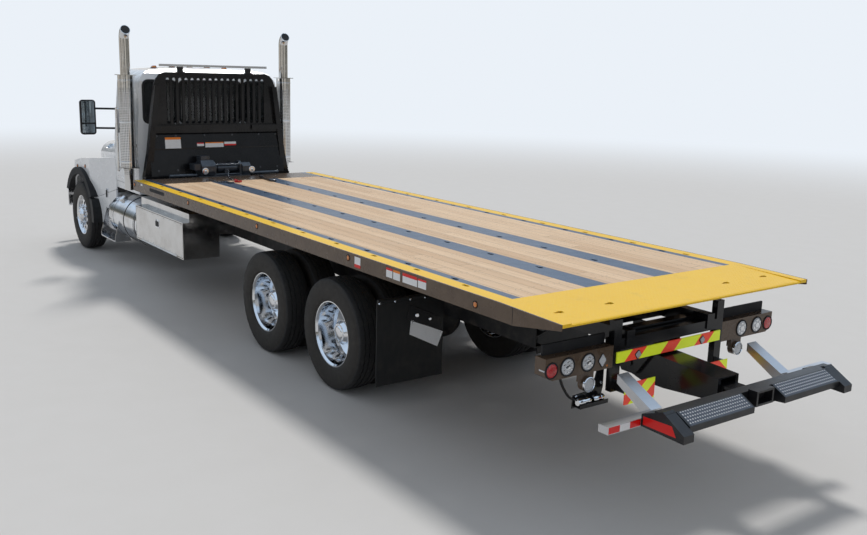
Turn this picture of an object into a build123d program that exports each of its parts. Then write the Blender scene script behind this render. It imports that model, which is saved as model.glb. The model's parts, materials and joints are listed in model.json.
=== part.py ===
from build123d import *
import math
import os

# Flatbed tow truck: a conventional day cab on a tandem chassis with a sliding, tilting steel and
# timber bed and a wheel lift. Millimetres. +X is forward, +Y is the driver's side, +Z is up, and
# the origin is on the ground in the middle of the truck's outline.

# Axles and wheels
front_axle_x = 5036
rear_axle_x = -2500
tandem_spread = 1320
axle_z = 505
tyre_r = 505
tyre_w = 279
bead_r = 292
bead_half_w = 90
bulge_r = 390
wall_r = 432
shoulder_w = 24
tyre_facets = 36
rim_lip_r = 302
dual_spacing = 337
dual_mid_y = 911
front_wheel_y = 1096.5
kingpin_y = 900
kingpin_r = 22
spindle_r = 40
drive_spindle_r = 50
bearing_gap = 0.3
hand_holes = 10

# Chassis rails, with the front horns that carry the bumper, the hood and the tow eyes
rail_y = 430
rail_flange = 90
rail_low = 730
rail_top = 1000
rail_wall = 10
rail_back = -4300
rail_front = 5850
horn_x = 6075
horn_y = 385
tow_eye_x = 6012
tow_eye_z = 492
tow_eye_r = 26

# Subframe, which tilts on the chassis
seat_gap = 0.3
sub_rail_y = 470
sub_rail_w = 80
sub_top = 1110
sub_back = -5250
sub_front = 2250
tilt_x = -4400
tilt_z = 950
tilt_pin_r = 25
tilt_eye_r = 45

# Bed, which slides on the subframe
bed_half = 1295.5
deck_z = 1330
board_t = 35
sill_h = 85
fascia_h = 124
fascia_wall = 12
bed_front = 2367
bed_seam = -5014
tail_front = -4840
tail_end = -5452
tail_top = 1308
wood_front = 1850
strip_w = 123.5
slot_strip_w = 75
strip_y = bed_half - fascia_wall - strip_w
slot_strip_y = strip_y - slot_strip_w
steel_t = 12
channel_y = 360
channel_w = 220
slot_pitch = 600
pocket_x = -4373
pocket_y = strip_y + 30
key_x = -4173
key_offset = 60
deck_low = deck_z - board_t

# Engine and gearbox
gearbox_back = 3300

# Cab
cab_back = 2925
cab_half = 1030
cab_wall = 45
cab_sill = 1060
door_back = 3110
door_front = 3885
door_low = 1157
belt_z = 1750
hood_seam = 3903
panel_gap = 6

# Hood and fenders
hood_front = 5880
hood_pin_x = 6050
hood_pin_z = 860
hood_pin_r = 15
hood_arm_y = 280
hood_arm_w = 25
arch_r = 620
flare_w = 105
fender_half = 1200

# Headboard behind the cab
guard_x = 2715
guard_t = 20
guard_slots = 17
guard_slot_pitch = 84.5
guard_slot_w = 47
guard_slot_low = 2010
guard_slot_high = 2612

# Exhaust stacks
stack_x = 2985
stack_y = 1140
stack_r = 63.5
shield_r = 100

# Tanks and tool boxes
tank_r = 320
tank_y = 830
tank_z = 660
tank_back = 2760
tank_front = 3917
box_back = 960
box_front = 2600
box_low = 540
box_high = 980
box_in = 750
box_out = 1200
box_wall = 12
box_door_t = 20

# Cylinders
lift_base_x = -300
lift_base_z = 700
lift_eye_x = -1600
lift_eye_z = 1050
lift_y = 270
lift_pin_r = 22
lug_reach = 120
barrel_r = 50
slide_base_x = 1700
slide_end_x = -2250
slide_z = 1150

# Winch rope
rope_start = 2388
hook_start = 1838

# Wheel lift
board_x = -5330
mast_x = -5000
mast_z = 765
boom_half = 110
boom_end = -5750
swivel_x = -5830
cross_z = 700
cross_half = 900
step_back = -6120

bumper_front = 6120


def block(x, y, z, mode=Mode.ADD):
    """A box from its low and high x, its low and high y and its low and high z."""
    with Locations(((x[0] + x[1]) / 2, (y[0] + y[1]) / 2, (z[0] + z[1]) / 2)):
        Box(x[1] - x[0], y[1] - y[0], z[1] - z[0], mode=mode)


def side_prism(points, y, mode=Mode.ADD):
    """A side-view outline of (x, z) points, from low y to high y."""
    with BuildSketch(Plane.XZ.offset(-y[1])) as outline:
        with BuildLine():
            Polyline(*points, close=True)
        make_face()
    extrude(outline.sketch, amount=y[1] - y[0], mode=mode)


def front_prism(points, x, mode=Mode.ADD):
    """A front-view outline of (y, z) points, from low x to high x."""
    with BuildSketch(Plane.YZ.offset(x[0])) as outline:
        with BuildLine():
            Polyline(*points, close=True)
        make_face()
    extrude(outline.sketch, amount=x[1] - x[0], mode=mode)


def plan_prism(points, z, mode=Mode.ADD):
    """A plan-view outline of (x, y) points, from low z to high z."""
    with BuildSketch(Plane.XY.offset(z[0])) as outline:
        with BuildLine():
            Polyline(*points, close=True)
        make_face()
    extrude(outline.sketch, amount=z[1] - z[0], mode=mode)


def rod(start, end, radius, mode=Mode.ADD):
    """A round bar between two points."""
    way = Vector(*end) - Vector(*start)
    with BuildSketch(Plane(origin=start, z_dir=way)) as section:
        Circle(radius)
    extrude(section.sketch, amount=way.length, mode=mode)


def axle_ring(points, x, y, side, mode=Mode.ADD):
    """A turned form about an axle: (distance out from y, radius) points on that side."""
    with BuildSketch(Plane.YZ.offset(x)) as section:
        with BuildLine():
            Polyline(*[(y + side * a, axle_z + r) for a, r in points], close=True)
        make_face()
    revolve(section.sketch, axis=Axis((x, y, axle_z), (0, 1, 0)), mode=mode)


def tyre_ring(x, y):
    """One tyre in flat facets: (distance from its middle, radius) pairs give the outside, from
    side wall over the tread to side wall, and the inside, from cone over the bead seat to cone."""
    half = tyre_w / 2
    outside = [(half, wall_r), (half - shoulder_w, tyre_r)]
    inside = [(half + 2, bulge_r + 4), (bead_half_w, bead_r)]
    for profile, mode in ((outside, Mode.ADD), (inside, Mode.SUBTRACT)):
        rings = []
        for a, r in [(-a, r) for a, r in profile] + list(reversed(profile)):
            with BuildSketch(Plane(origin=(x, y + a, axle_z), x_dir=(0, 0, 1), z_dir=(0, 1, 0))) as ring:
                RegularPolygon(r, tyre_facets, major_radius=False, rotation=180 / tyre_facets)
            rings.append(ring.sketch)
        loft(sections=rings, ruled=True, mode=mode)


def rim_holes(x, y, length, radius, hole_r):
    """The hand holes of a disc wheel, cut along its axle."""
    with Locations(Location((x, y, axle_z), (90, 0, 0))):
        with PolarLocations(radius, hand_holes):
            Cylinder(hole_r, length, mode=Mode.SUBTRACT)


def deck_holes(outline, first_x, last_x, rows):
    """A plan outline of (x, y) points cut through the deck's top steel at every pitch, in each row."""
    spots = []
    x = first_x
    while x < last_x:
        spots += [(x, y) for y in rows]
        x += slot_pitch
    with BuildSketch(Plane.XY.offset(deck_z - steel_t - 2)) as holes:
        with Locations(*spots):
            with BuildSketch(mode=Mode.PRIVATE) as one:
                with BuildLine():
                    Polyline(*outline, close=True)
                make_face()
            add(one.sketch)
    extrude(holes.sketch, amount=steel_t + 4, mode=Mode.SUBTRACT)


pieces = {}
sides = {"left": 1, "right": -1}
seat_r = bead_r - seat_gap
rim_half = 116
bead_half = 100 + seat_gap

# Front wheels: a tyre and a disc wheel whose centre stands out to the lip
front_rim = [
    (-rim_half, rim_lip_r), (-bead_half, rim_lip_r), (-bead_half, seat_r), (bead_half, seat_r),
    (bead_half, rim_lip_r), (rim_half, rim_lip_r), (rim_half, 286), (98, 272), (78, 262),
    (88, 236), (100, 150), (100, 112), (128, 108), (150, 88), (156, 0), (70, 0),
    (70, spindle_r + bearing_gap), (-60, spindle_r + bearing_gap), (-60, 75), (40, 85), (62, 120),
    (66, 150), (56, 240), (50, 258), (-60, 262), (-98, 272), (-rim_half, 286),
]
for name, side in sides.items():
    with BuildPart() as front_tyre:
        tyre_ring(front_axle_x, side * front_wheel_y)
    pieces[f"tyre_front_{name}"] = front_tyre
    with BuildPart() as front_wheel:
        axle_ring(front_rim, front_axle_x, side * front_wheel_y, side)
        rim_holes(front_axle_x, side * front_wheel_y, 400, 195, 26)
    pieces[f"wheel_front_{name}"] = front_wheel

# Rear wheels: two deep-dished rims back to back on one hub with its brake drum
dual_off = dual_spacing / 2
rim_in = dual_off - rim_half
rim_out = dual_off + rim_half
bead_in = dual_off - bead_half
bead_out = dual_off + bead_half
half_dual = [(rim_in, rim_lip_r), (bead_in, rim_lip_r), (bead_in, seat_r), (bead_out, seat_r),
             (bead_out, rim_lip_r), (rim_out, rim_lip_r), (rim_out, 286), (266, 272), (110, 262),
             (84, 250), (36, 200), (14, 170)]
disc_face = [(-56, 280), (-22, 215), (-2, 195), (2, 195), (22, 215), (56, 280)]
bore_r = drive_spindle_r + bearing_gap
hub_end = [(14, 128), (40, 118), (180, 108), (208, 84), (216, 0), (100, 0), (100, bore_r),
           (-230, bore_r), (-230, 90), (-60, 100), (-14, 128)]
dual_rim = half_dual + hub_end + [(-a, r) for a, r in reversed(half_dual)] + disc_face
brake_drum = [(-285, 185), (-285, 212), (-118, 212), (-106, 200), (-106, 94), (-122, 94), (-122, 185)]
for axle, x in {"rear": rear_axle_x, "mid": rear_axle_x + tandem_spread}.items():
    for name, side in sides.items():
        with BuildPart() as dual_tyres:
            tyre_ring(x, side * (dual_mid_y - dual_off))
            tyre_ring(x, side * (dual_mid_y + dual_off))
        pieces[f"tyres_{axle}_{name}"] = dual_tyres
        with BuildPart() as dual_wheels:
            axle_ring(dual_rim, x, side * dual_mid_y, side)
            axle_ring(brake_drum, x, side * dual_mid_y, side)
            rim_holes(x, side * dual_mid_y, 190, 205, 27)
        pieces[f"wheels_{axle}_{name}"] = dual_wheels

# Chassis: two channel rails, cross members, rear hinge brackets with their pin, and front horns
# that carry the bumper and the hood hinge pins
web_in = rail_y - rail_wall
flange_in = rail_y - rail_flange
cross_members = [-4200, -3300, -1840, -300, 1300, 3000, 5480]
with BuildPart() as frame_rails:
    channel = [(rail_y, rail_low), (rail_y, rail_top), (flange_in, rail_top),
               (flange_in, rail_top - rail_wall), (web_in, rail_top - rail_wall),
               (web_in, rail_low + rail_wall), (flange_in, rail_low + rail_wall),
               (flange_in, rail_low)]
    front_prism(channel, (rail_back, rail_front))
    for x in cross_members:
        block((x - 40, x + 40), (0, web_in), (850, 858))
        block((x - 4, x + 4), (0, web_in), (858, 975))
    # Cab mounts
    for x in (3060, 3760):
        block((x - 60, x + 60), (flange_in, rail_y), (rail_top, cab_sill - seat_gap))
    # Rear hinge bracket
    side_prism([(rail_back + 120, 760), (rail_back + 120, 990), (tilt_x, tilt_z + tilt_eye_r),
                (tilt_x, tilt_z - tilt_eye_r)], (flange_in, flange_in + 25))
    rod((tilt_x, flange_in, tilt_z), (tilt_x, flange_in + 25, tilt_z), tilt_eye_r)
    rod((tilt_x, 0, tilt_z), (tilt_x, sub_rail_y + 15, tilt_z), tilt_pin_r)
    # Front horn, bumper bracket and hood hinge
    block((rail_front - 60, horn_x), (horn_y, web_in), (745, 850))
    block((horn_x - 195, horn_x), (horn_y, web_in), (600, 760))
    block((horn_x - 75, horn_x), (horn_y - 30, horn_y), (600, hood_pin_z + 30))
    rod((hood_pin_x, hood_arm_y - 5, hood_pin_z), (hood_pin_x, horn_y - 10, hood_pin_z), hood_pin_r)
    # Lift cylinder base pin
    block((lift_base_x - 10, lift_base_x + 40), (0, lift_y + 45), (760, 850))
    for y in (lift_y - 45, lift_y + 33):
        side_prism([(lift_base_x - 40, lift_base_z - 40), (lift_base_x - 40, 800),
                    (lift_base_x + 40, 800), (lift_base_x + 40, lift_base_z - 40)], (y, y + 12))
    block((lift_base_x + 41, lift_base_x + 60), (0, flange_in + 5), (740, 860))
    rod((lift_base_x, lift_y - 45, lift_base_z), (lift_base_x, lift_y + 45, lift_base_z), lift_pin_r)
    mirror(about=Plane.XZ)
pieces["frame_rails"] = frame_rails

# Front axle: a dropped beam with kingpins on leaf springs
spring_y = rail_y - 40
with BuildPart() as front_axle:
    front_prism([(0, 370), (spring_y, 370), (760, 430), (850, 430), (850, 560), (760, 520),
                 (spring_y + 60, 470), (0, 450)], (front_axle_x - 45, front_axle_x + 45))
    rod((front_axle_x, kingpin_y, 400), (front_axle_x, kingpin_y, 610), kingpin_r)
    rod((front_axle_x, kingpin_y, 478), (front_axle_x, kingpin_y, 532), 32)
    block((front_axle_x - 30, front_axle_x + 30), (840, kingpin_y), (478, 532))
    side_prism([(4250, 690), (4640, 575), (front_axle_x, 540), (5430, 575), (5820, 690),
                (5820, 670), (5430, 540), (front_axle_x, 470), (4640, 540), (4250, 670)],
               (spring_y - 38, spring_y + 38))
    for x in (4250, 5820):
        block((x - 35, x + 35), (spring_y - 45, spring_y + 38), (660, rail_low))
    mirror(about=Plane.XZ)
pieces["front_axle"] = front_axle

# Drive axles: housings, differentials, walking beams, trunnion and drive shaft
with BuildPart() as drive_axles:
    for x in (rear_axle_x, rear_axle_x + tandem_spread):
        rod((x, 0, axle_z), (x, dual_mid_y - 236, axle_z), 65)
        rod((x, 0, axle_z), (x, dual_mid_y + 94, axle_z), drive_spindle_r)
        with Locations((x, 0, axle_z)):
            Sphere(195)
        side_prism([(x - 90, 420), (x + 90, 420), (x + 60, axle_z), (x - 60, axle_z)], (470, 560))
        rod((x, 0, axle_z + 40), (x + 330, 0, axle_z + 70), 60)
    beam_mid = rear_axle_x + tandem_spread / 2
    side_prism([(rear_axle_x - 110, 370), (beam_mid, 330), (rear_axle_x + tandem_spread + 110, 370),
                (rear_axle_x + tandem_spread + 110, 430), (beam_mid, 480), (rear_axle_x - 110, 430)],
               (470, 560))
    side_prism([(beam_mid - 230, rail_low - seat_gap), (beam_mid + 230, rail_low - seat_gap),
                (beam_mid + 90, 380), (beam_mid - 90, 380)], (rail_y - 60, rail_y + 40))
    mirror(about=Plane.XZ)
    rod((rear_axle_x + 330, 0, axle_z + 70), (rear_axle_x + tandem_spread, 0, axle_z + 60), 45)
    rod((rear_axle_x + tandem_spread + 330, 0, axle_z + 70), (gearbox_back - 2, 0, 720), 48)
pieces["drive_axles"] = drive_axles

# Engine and gearbox: one plain block at its place, with its radiator and oil pan
with BuildPart() as engine:
    block((4260, 5420), (-320, 320), (rail_top + 2, 1420))
    block((4260, 5420), (-200, 200), (560, rail_top + 2))
    block((gearbox_back, 4260), (-190, 190), (600, 980))
    block((4300, 4420), (-flange_in - 60, flange_in + 60), (rail_top, rail_top + 40))
    block((5580, 5640), (-430, 430), (rail_top, 1480))
    block((5420, 5580), (-60, 60), (1150, 1250))
pieces["engine"] = engine

# Bumper: a bright channel bowed in plan
with BuildPart() as bumper:
    with BuildSketch(Plane.XY.offset(526)) as plan:
        with BuildLine():
            ThreePointArc((5950, 1170), (bumper_front, 0), (5950, -1170))
            Line((5950, -1170), (5938, -1160))
            ThreePointArc((5938, -1160), (bumper_front - 12, 0), (5938, 1160))
            Line((5938, 1160), (5950, 1170))
        make_face()
    extrude(plan.sketch, amount=280)
    for low, high in ((-web_in, -horn_y), (horn_y, web_in)):
        block((horn_x, bumper_front - 25), (low, high), (600, 740))
        # Tow eye below the horn
        side_prism([(5900, 600 - seat_gap), (horn_x + seat_gap, 600 - seat_gap), (horn_x + seat_gap, 640),
                    (bumper_front - 25, 640), (bumper_front - 25, 500), (6040, 440), (5985, 440),
                    (5940, 520)], (low, high))
        rod((tow_eye_x, low - 10, tow_eye_z), (tow_eye_x, high + 10, tow_eye_z), tow_eye_r,
            mode=Mode.SUBTRACT)
pieces["bumper"] = bumper

# Cab: its side outline crossed with its front outline gives the raked, crowned shell
roof_z = 2745
waist_half = 985
cab_floor = cab_sill + cab_wall
cab_front = hood_seam - 5
cowl_half = 815
cowl_low = 1560
side_outline = [(cab_back, cab_sill), (cab_back, 2560), (2975, 2660), (3080, 2722), (3400, roof_z),
                (3790, 2738), (3930, 2690), (4200, 2600), (4200, belt_z), (cab_front, belt_z),
                (cab_front, cab_sill)]
inner_side = [(cab_back + cab_wall, cab_floor), (cab_back + cab_wall, 2545), (3005, 2620),
              (3095, 2680), (3400, roof_z - cab_wall), (3775, 2694), (3880, 2656), (4200, 2600),
              (4200, belt_z + cab_wall), (cab_front - cab_wall, belt_z + cab_wall),
              (cab_front - cab_wall, cab_floor)]


def front_limit(inset):
    """Everything behind the windshield's face: an arc in plan that leans back as it rises."""
    ends = []
    for z, centre, edge in ((1500, 4175, 3917), (2760, 3890, 3800)):
        with BuildSketch(Plane.XY.offset(z)) as end:
            with BuildLine():
                Polyline((edge - inset, -1040), (2800, -1040), (2800, 1040), (edge - inset, 1040))
                ThreePointArc((edge - inset, 1040), (centre - inset, 0), (edge - inset, -1040))
            make_face()
        ends.append(end.sketch)
    loft(sections=ends, ruled=True)


with BuildPart() as windshield_face:
    front_limit(0)
with BuildPart() as windshield_back:
    front_limit(cab_wall)
with BuildPart() as body_below:
    block((2800, cab_front), (-1040, 1040), (cab_sill - 10, 1500))
with BuildPart() as room_below:
    block((2800, cab_front - cab_wall), (-1040, 1040), (cab_sill - 10, 1500))


def cab_section(half, waist, low, top, corner):
    """The cab's front outline: upright to the belt, leaning in above it, with a crowned roof."""
    with BuildSketch(Plane.YZ.offset(cab_back - 50)) as section:
        with BuildLine():
            Polyline((-waist, 2480), (-half, belt_z), (-half, low), (half, low), (half, belt_z),
                     (waist, 2480))
            RadiusArc((waist, 2480), (waist - corner, top - 45), -corner * 1.25)
            ThreePointArc((waist - corner, top - 45), (0, top), (corner - waist, top - 45))
            RadiusArc((corner - waist, top - 45), (-waist, 2480), -corner * 1.25)
        make_face()
    extrude(section.sketch, amount=1400)


with BuildPart() as cab_solid:
    cab_section(cab_half, waist_half, cab_sill, roof_z, 170)
    side_prism(side_outline, (-cab_half - 10, cab_half + 10), mode=Mode.INTERSECT)
    add(windshield_face.part + body_below.part, mode=Mode.INTERSECT)
with BuildPart() as cab_hollow:
    cab_section(cab_half - cab_wall, waist_half - cab_wall, cab_floor, roof_z - cab_wall, 170)
    side_prism(inner_side, (-cab_half, cab_half), mode=Mode.INTERSECT)
    add(windshield_back.part + room_below.part, mode=Mode.INTERSECT)
with BuildPart() as cowl:
    block((cab_front - 20, 4200), (-cowl_half, cowl_half), (cowl_low, belt_z))
    add(windshield_face.part, mode=Mode.INTERSECT)
door_outline = [(door_back, door_low), (door_back, 2540), (3190, 2600), (3690, 2600), (3745, 2560),
                (3830, 2150), (3872, 1800), (door_front, belt_z), (door_front, door_low)]
window_outline = [(door_back + 70, 1830), (door_back + 70, 2490), (3200, 2520), (3650, 2520),
                  (3690, 2490), (3770, 2120), (3795, 1830)]


def grown(points, gap):
    """An outline moved out from its middle by the panel gap on each side."""
    cx = (min(p[0] for p in points) + max(p[0] for p in points)) / 2
    cz = (min(p[1] for p in points) + max(p[1] for p in points)) / 2
    return [(x + gap * math.copysign(1, x - cx), z + gap * math.copysign(1, z - cz)) for x, z in points]


def side_band(side, depth):
    """The cab's side wall as a front-view outline, in to a depth from its outer face."""
    return [(side * y, z) for y, z in ((1100, cab_sill), (1100, 2700), (waist_half - depth - 70, 2680),
                                       (waist_half - depth - 22, 2590), (waist_half - depth, 2480),
                                       (cab_half - depth, belt_z), (cab_half - depth, cab_sill))]


door_pin_x = 3892
door_pin_y = 1035
door_pin_r = 9
door_hinge_z = (1330, 1640)
rear_windows = [(-930, -495), (-440, 440), (495, 930)]
rear_window_z = (2020, 2560)
front_windows = [(-905, -25), (25, 905)]
front_window_z = (1830, 2560)
glass_t = 6
with BuildPart() as cab_shell:
    add(cab_solid.part)
    add(cab_hollow.part, mode=Mode.SUBTRACT)
    add(cowl.part)
    for side in sides.values():
        with BuildPart(mode=Mode.PRIVATE) as doorway:
            side_prism(grown(door_outline, panel_gap), sorted((side * 800, side * 1100)))
            front_prism(side_band(side, cab_wall + panel_gap), (cab_back, 4200), mode=Mode.INTERSECT)
        add(doorway.part, mode=Mode.SUBTRACT)
        for z in door_hinge_z:
            rod((door_pin_x, side * door_pin_y, z - 32), (door_pin_x, side * door_pin_y, z + 32),
                door_pin_r + seat_gap, mode=Mode.SUBTRACT)
    for low, high in rear_windows:
        block((cab_back - 20, cab_back + cab_wall + 20), (low, high), rear_window_z, mode=Mode.SUBTRACT)
    for y in front_windows:
        block((3780, 4300), y, front_window_z, mode=Mode.SUBTRACT)
pieces["cab_shell"] = cab_shell

for name, side in sides.items():
    reach = sorted((side * 800, side * 1100))
    with BuildPart() as door:
        add(cab_solid.part)
        side_prism(door_outline, reach, mode=Mode.INTERSECT)
        front_prism(side_band(side, cab_wall), (cab_back, 4200), mode=Mode.INTERSECT)
        side_prism(window_outline, reach, mode=Mode.SUBTRACT)
        leaf = sorted((side * (cab_half - 5), side * (door_pin_y + 5)))
        for z in door_hinge_z:
            rod((door_pin_x, side * door_pin_y, z - 30), (door_pin_x, side * door_pin_y, z + 30),
                door_pin_r)
            block((door_front - 30, door_front + 3), leaf, (z - 30, z + 30))
    pieces[f"door_{name}"] = door
    with BuildPart() as door_glass:
        side_prism(grown(window_outline, -seat_gap), reach)
        with BuildPart(mode=Mode.PRIVATE) as pane:
            front_prism([(side * (cab_half - 20), belt_z), (side * (waist_half - 20), 2480),
                         (side * (waist_half - 34), 2600), (side * (waist_half - 40), 2600),
                         (side * (waist_half - 26), 2480), (side * (cab_half - 26), belt_z)],
                        (door_back, door_front))
        add(pane.part, mode=Mode.INTERSECT)
    pieces[f"door_glass_{name}"] = door_glass

with BuildPart() as cab_glass:
    for low, high in rear_windows:
        block((cab_back + 18, cab_back + 18 + glass_t), (low + seat_gap, high - seat_gap),
              (rear_window_z[0] + seat_gap, rear_window_z[1] - seat_gap))
    for low, high in front_windows:
        with BuildPart(mode=Mode.PRIVATE) as pane:
            front_limit(18)
            with BuildPart(mode=Mode.PRIVATE) as behind:
                front_limit(18 + glass_t)
            add(behind.part, mode=Mode.SUBTRACT)
            block((3780, 4300), (low + seat_gap, high - seat_gap),
                  (front_window_z[0] + seat_gap, front_window_z[1] - seat_gap), mode=Mode.INTERSECT)
        add(pane.part)
pieces["cab_glass"] = cab_glass

# Dashboard with the steering wheel
wheel_at = (3660, 480, 1760)
with BuildPart() as dashboard:
    side_prism([(cab_front - cab_wall, 1400), (cab_front - cab_wall, 1805), (3780, 1815), (3700, 1700),
                (3740, 1450)], (-960, 960))
    add(cab_hollow.part, mode=Mode.INTERSECT)
    rod((3745, 480, 1640), wheel_at, 30)
    with BuildSketch(Plane(origin=wheel_at, z_dir=(-0.58, 0, 0.81))) as steering:
        Circle(225)
        Circle(200, mode=Mode.SUBTRACT)
        Rectangle(410, 40)
        Circle(70)
    extrude(steering.sketch, amount=25)
pieces["dashboard"] = dashboard

# Two seats on pedestals
with BuildPart() as seats:
    for y in (480, -480):
        block((3180, 3560), (y - 170, y + 170), (cab_floor, 1360))
        block((3080, 3620), (y - 240, y + 240), (1360, 1480))
        side_prism([(3110, 1480), (3230, 1480), (3130, 2140), (3030, 2140)], (y - 230, y + 230))
        side_prism([(3022, 2160), (3102, 2160), (3080, 2330), (3010, 2330)], (y - 130, y + 130))
        block((3045, 3085), (y - 60, y + 60), (2130, 2170))
pieces["seats"] = seats

# Hood: a hollow tapered centre with hollow fenders, open below, and its hinge arms
hood_back = hood_seam + 3


def hood_loft(trim):
    """The hood's centre, from the cowl to the grille, smaller all round by trim."""
    ends = []
    for x, half, top in ((hood_back - (5 if trim else 0), 850, 1700), (hood_front - trim, 640, 1575)):
        w = half - trim
        t = top - trim
        with BuildSketch(Plane.YZ.offset(x)) as end:
            with BuildLine():
                Polyline((-w, t - 190), (-w, 880 - trim), (w, 880 - trim), (w, t - 190))
                RadiusArc((w, t - 190), (w - 170, t - 30), -210)
                ThreePointArc((w - 170, t - 30), (0, t), (170 - w, t - 30))
                RadiusArc((170 - w, t - 30), (-w, t - 190), -210)
            make_face()
        ends.append(end.sketch)
    loft(sections=ends, ruled=True)


fender_side = [(hood_back, 1020), (hood_back, 1470), (4300, 1430), (5000, 1370), (5450, 1290),
               (5720, 1160), (5850, 980), (5870, 800), (5600, 800), (5036, 900), (4500, 830)]
fender_plan = [(hood_back, 550), (hood_back, cab_half), (4250, 1110), (4600, fender_half),
               (5350, fender_half), (5650, 1130), (5840, 980), (5890, 800), (5890, 550)]
skin = 20


with BuildPart() as hood_block:
    hood_loft(0)
with BuildPart() as hood_room:
    hood_loft(skin)
with BuildPart() as fender_block:
    side_prism(fender_side, (550, fender_half + 10))
    plan_prism(fender_plan, (700, 1600), mode=Mode.INTERSECT)
    mirror(about=Plane.XZ)
with BuildPart() as fender_room:
    side_prism([(hood_back - 40, 700), (hood_back - 40, 1450), (4300, 1410), (5000, 1350),
                (5440, 1270), (5705, 1145), (5830, 972), (5850, 700)], (500, fender_half - skin))
    plan_prism([(hood_back - 40, 500), (hood_back - 40, cab_half - skin), (4256, 1090),
                (4604, fender_half - skin), (5344, fender_half - skin), (5638, 1112), (5824, 966),
                (5870, 796), (5870, 500)], (650, 1600), mode=Mode.INTERSECT)
    mirror(about=Plane.XZ)
grille_low = 965
grille_high = 1500
grille_half = 420
with BuildPart() as cowl_room:
    block((hood_back - 30, 4300), (-cowl_half - 8, cowl_half + 8), (cowl_low - 8, 1800))
    with BuildPart(mode=Mode.PRIVATE) as ahead:
        front_limit(-8)
    add(ahead.part, mode=Mode.INTERSECT)
with BuildPart() as hood_shell:
    add(hood_block.part)
    add(fender_block.part)
    add(hood_room.part, mode=Mode.SUBTRACT)
    add(fender_room.part, mode=Mode.SUBTRACT)
    add(cowl_room.part, mode=Mode.SUBTRACT)
    for side in (1, -1):
        rod((front_axle_x, side * 500, axle_z), (front_axle_x, side * 1400, axle_z), arch_r,
            mode=Mode.SUBTRACT)
    block((hood_front - 60, hood_front + 60), (-grille_half, grille_half), (grille_low, grille_high),
          mode=Mode.SUBTRACT)
    for y in (hood_arm_y, -hood_arm_y - hood_arm_w):
        side_prism([(hood_front - skin, 882), (hood_front - skin, grille_low - 10),
                    (hood_front + 25, grille_low - 25), (hood_pin_x, hood_pin_z + 28),
                    (hood_pin_x, hood_pin_z - 28), (hood_front + 25, 870)], (y, y + hood_arm_w))
        rod((hood_pin_x, y, hood_pin_z), (hood_pin_x, y + hood_arm_w, hood_pin_z), 28)
    rod((hood_pin_x, -400, hood_pin_z), (hood_pin_x, 400, hood_pin_z), hood_pin_r + seat_gap,
        mode=Mode.SUBTRACT)
pieces["hood_shell"] = hood_shell

# Grille: a frame of upright bars let into the hood's nose
with BuildPart() as grille:
    block((hood_front - 25, hood_front + 25), (-grille_half + seat_gap, grille_half - seat_gap),
          (grille_low + seat_gap, grille_high - seat_gap))
    block((hood_front - 40, hood_front + 40), (-grille_half + 35, grille_half - 35),
          (grille_low + 35, grille_high - 35), mode=Mode.SUBTRACT)
    with Locations((hood_front, 0, (grille_low + grille_high) / 2)):
        with GridLocations(1, 48, 1, 16):
            Box(30, 14, grille_high - grille_low - 60)
pieces["grille"] = grille

# Fixed fairings below the cab and behind the front wheels, each on a bracket from its rail
split_gap = 6
fairing_side = [(hood_back + 17, 1015 - split_gap), (hood_back + 17, 900), (4125, 765), (4215, 490),
                (4450, 490), (4500, 830 - split_gap)]
with BuildPart() as cab_fairings:
    side_prism(fairing_side, (900, 1300))
    plan_prism([(hood_back, cab_half - 25), (hood_back, cab_half), (4250, 1110), (4510, 1180),
                (4510, 1152), (4256, 1084)], (480, 1020), mode=Mode.INTERSECT)
    block((3958, 3985), (rail_y, cab_half - 5), (890, 960))
    rod((front_axle_x, 1000, axle_z), (front_axle_x, 1300, axle_z), arch_r, mode=Mode.SUBTRACT)
    mirror(about=Plane.XZ)
pieces["cab_fairings"] = cab_fairings

# Flares: rubber lips round the front arches, split where the hood leaves the fairing
flare_out = arch_r + flare_w
flare_y = (1070, fender_half + 55)


def arch_lip(low, high):
    """The lips round both arches, between two heights."""
    for side in sides.values():
        ends = [(front_axle_x, side * y, axle_z) for y in flare_y]
        rod(ends[0], ends[1], flare_out)
        rod((front_axle_x, side * 1000, axle_z), (front_axle_x, side * 1300, axle_z), arch_r + 3,
            mode=Mode.SUBTRACT)
    block((4200, 5900), (-1300, 1300), (-300, low), mode=Mode.SUBTRACT)
    block((4200, 5900), (-1300, 1300), (high, 1300), mode=Mode.SUBTRACT)


with BuildPart() as fender_flares:
    arch_lip(840, 1290)
    add(fender_block.part, mode=Mode.SUBTRACT)
    side_prism([(3900, 700), (3900, 1020), (4500, 832), (4600, 838), (4600, 700)], (-1300, 1300),
               mode=Mode.SUBTRACT)
pieces["fender_flares"] = fender_flares

# The lips' lower ends on the cab's side panels, with the mud flaps behind the rear wheels, which
# hang on bars from the chassis
flap_x = -3270
with BuildPart() as mud_flaps:
    arch_lip(490, 832 - split_gap)
    block((front_axle_x - 300, 5900), (-1300, 1300), (400, 900), mode=Mode.SUBTRACT)
    plan_prism([(4000, 1000), (4250, 1110), (4510, 1180), (4700, 1180), (4700, 1000)],
               (400, 900), mode=Mode.SUBTRACT)
    plan_prism([(4000, -1000), (4250, -1110), (4510, -1180), (4700, -1180), (4700, -1000)],
               (400, 900), mode=Mode.SUBTRACT)
    for side in sides.values():
        low, high = sorted((side * 550, side * 1220))
        block((flap_x - 5, flap_x + 5), (low, high), (250, 960))
        rod((flap_x, side * rail_y, 970), (flap_x, side * 1210, 970), 18)
pieces["mud_flaps"] = mud_flaps

# Headlamps: one housing on each fender front
with BuildPart() as headlamps:
    for side in (1, -1):
        low, high = sorted((side * 690, side * 960))
        block((5700, 5905), (low, high), (930, 1110))
    add(fender_block.part, mode=Mode.SUBTRACT)
    add(hood_block.part, mode=Mode.SUBTRACT)
pieces["headlamps"] = headlamps

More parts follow.
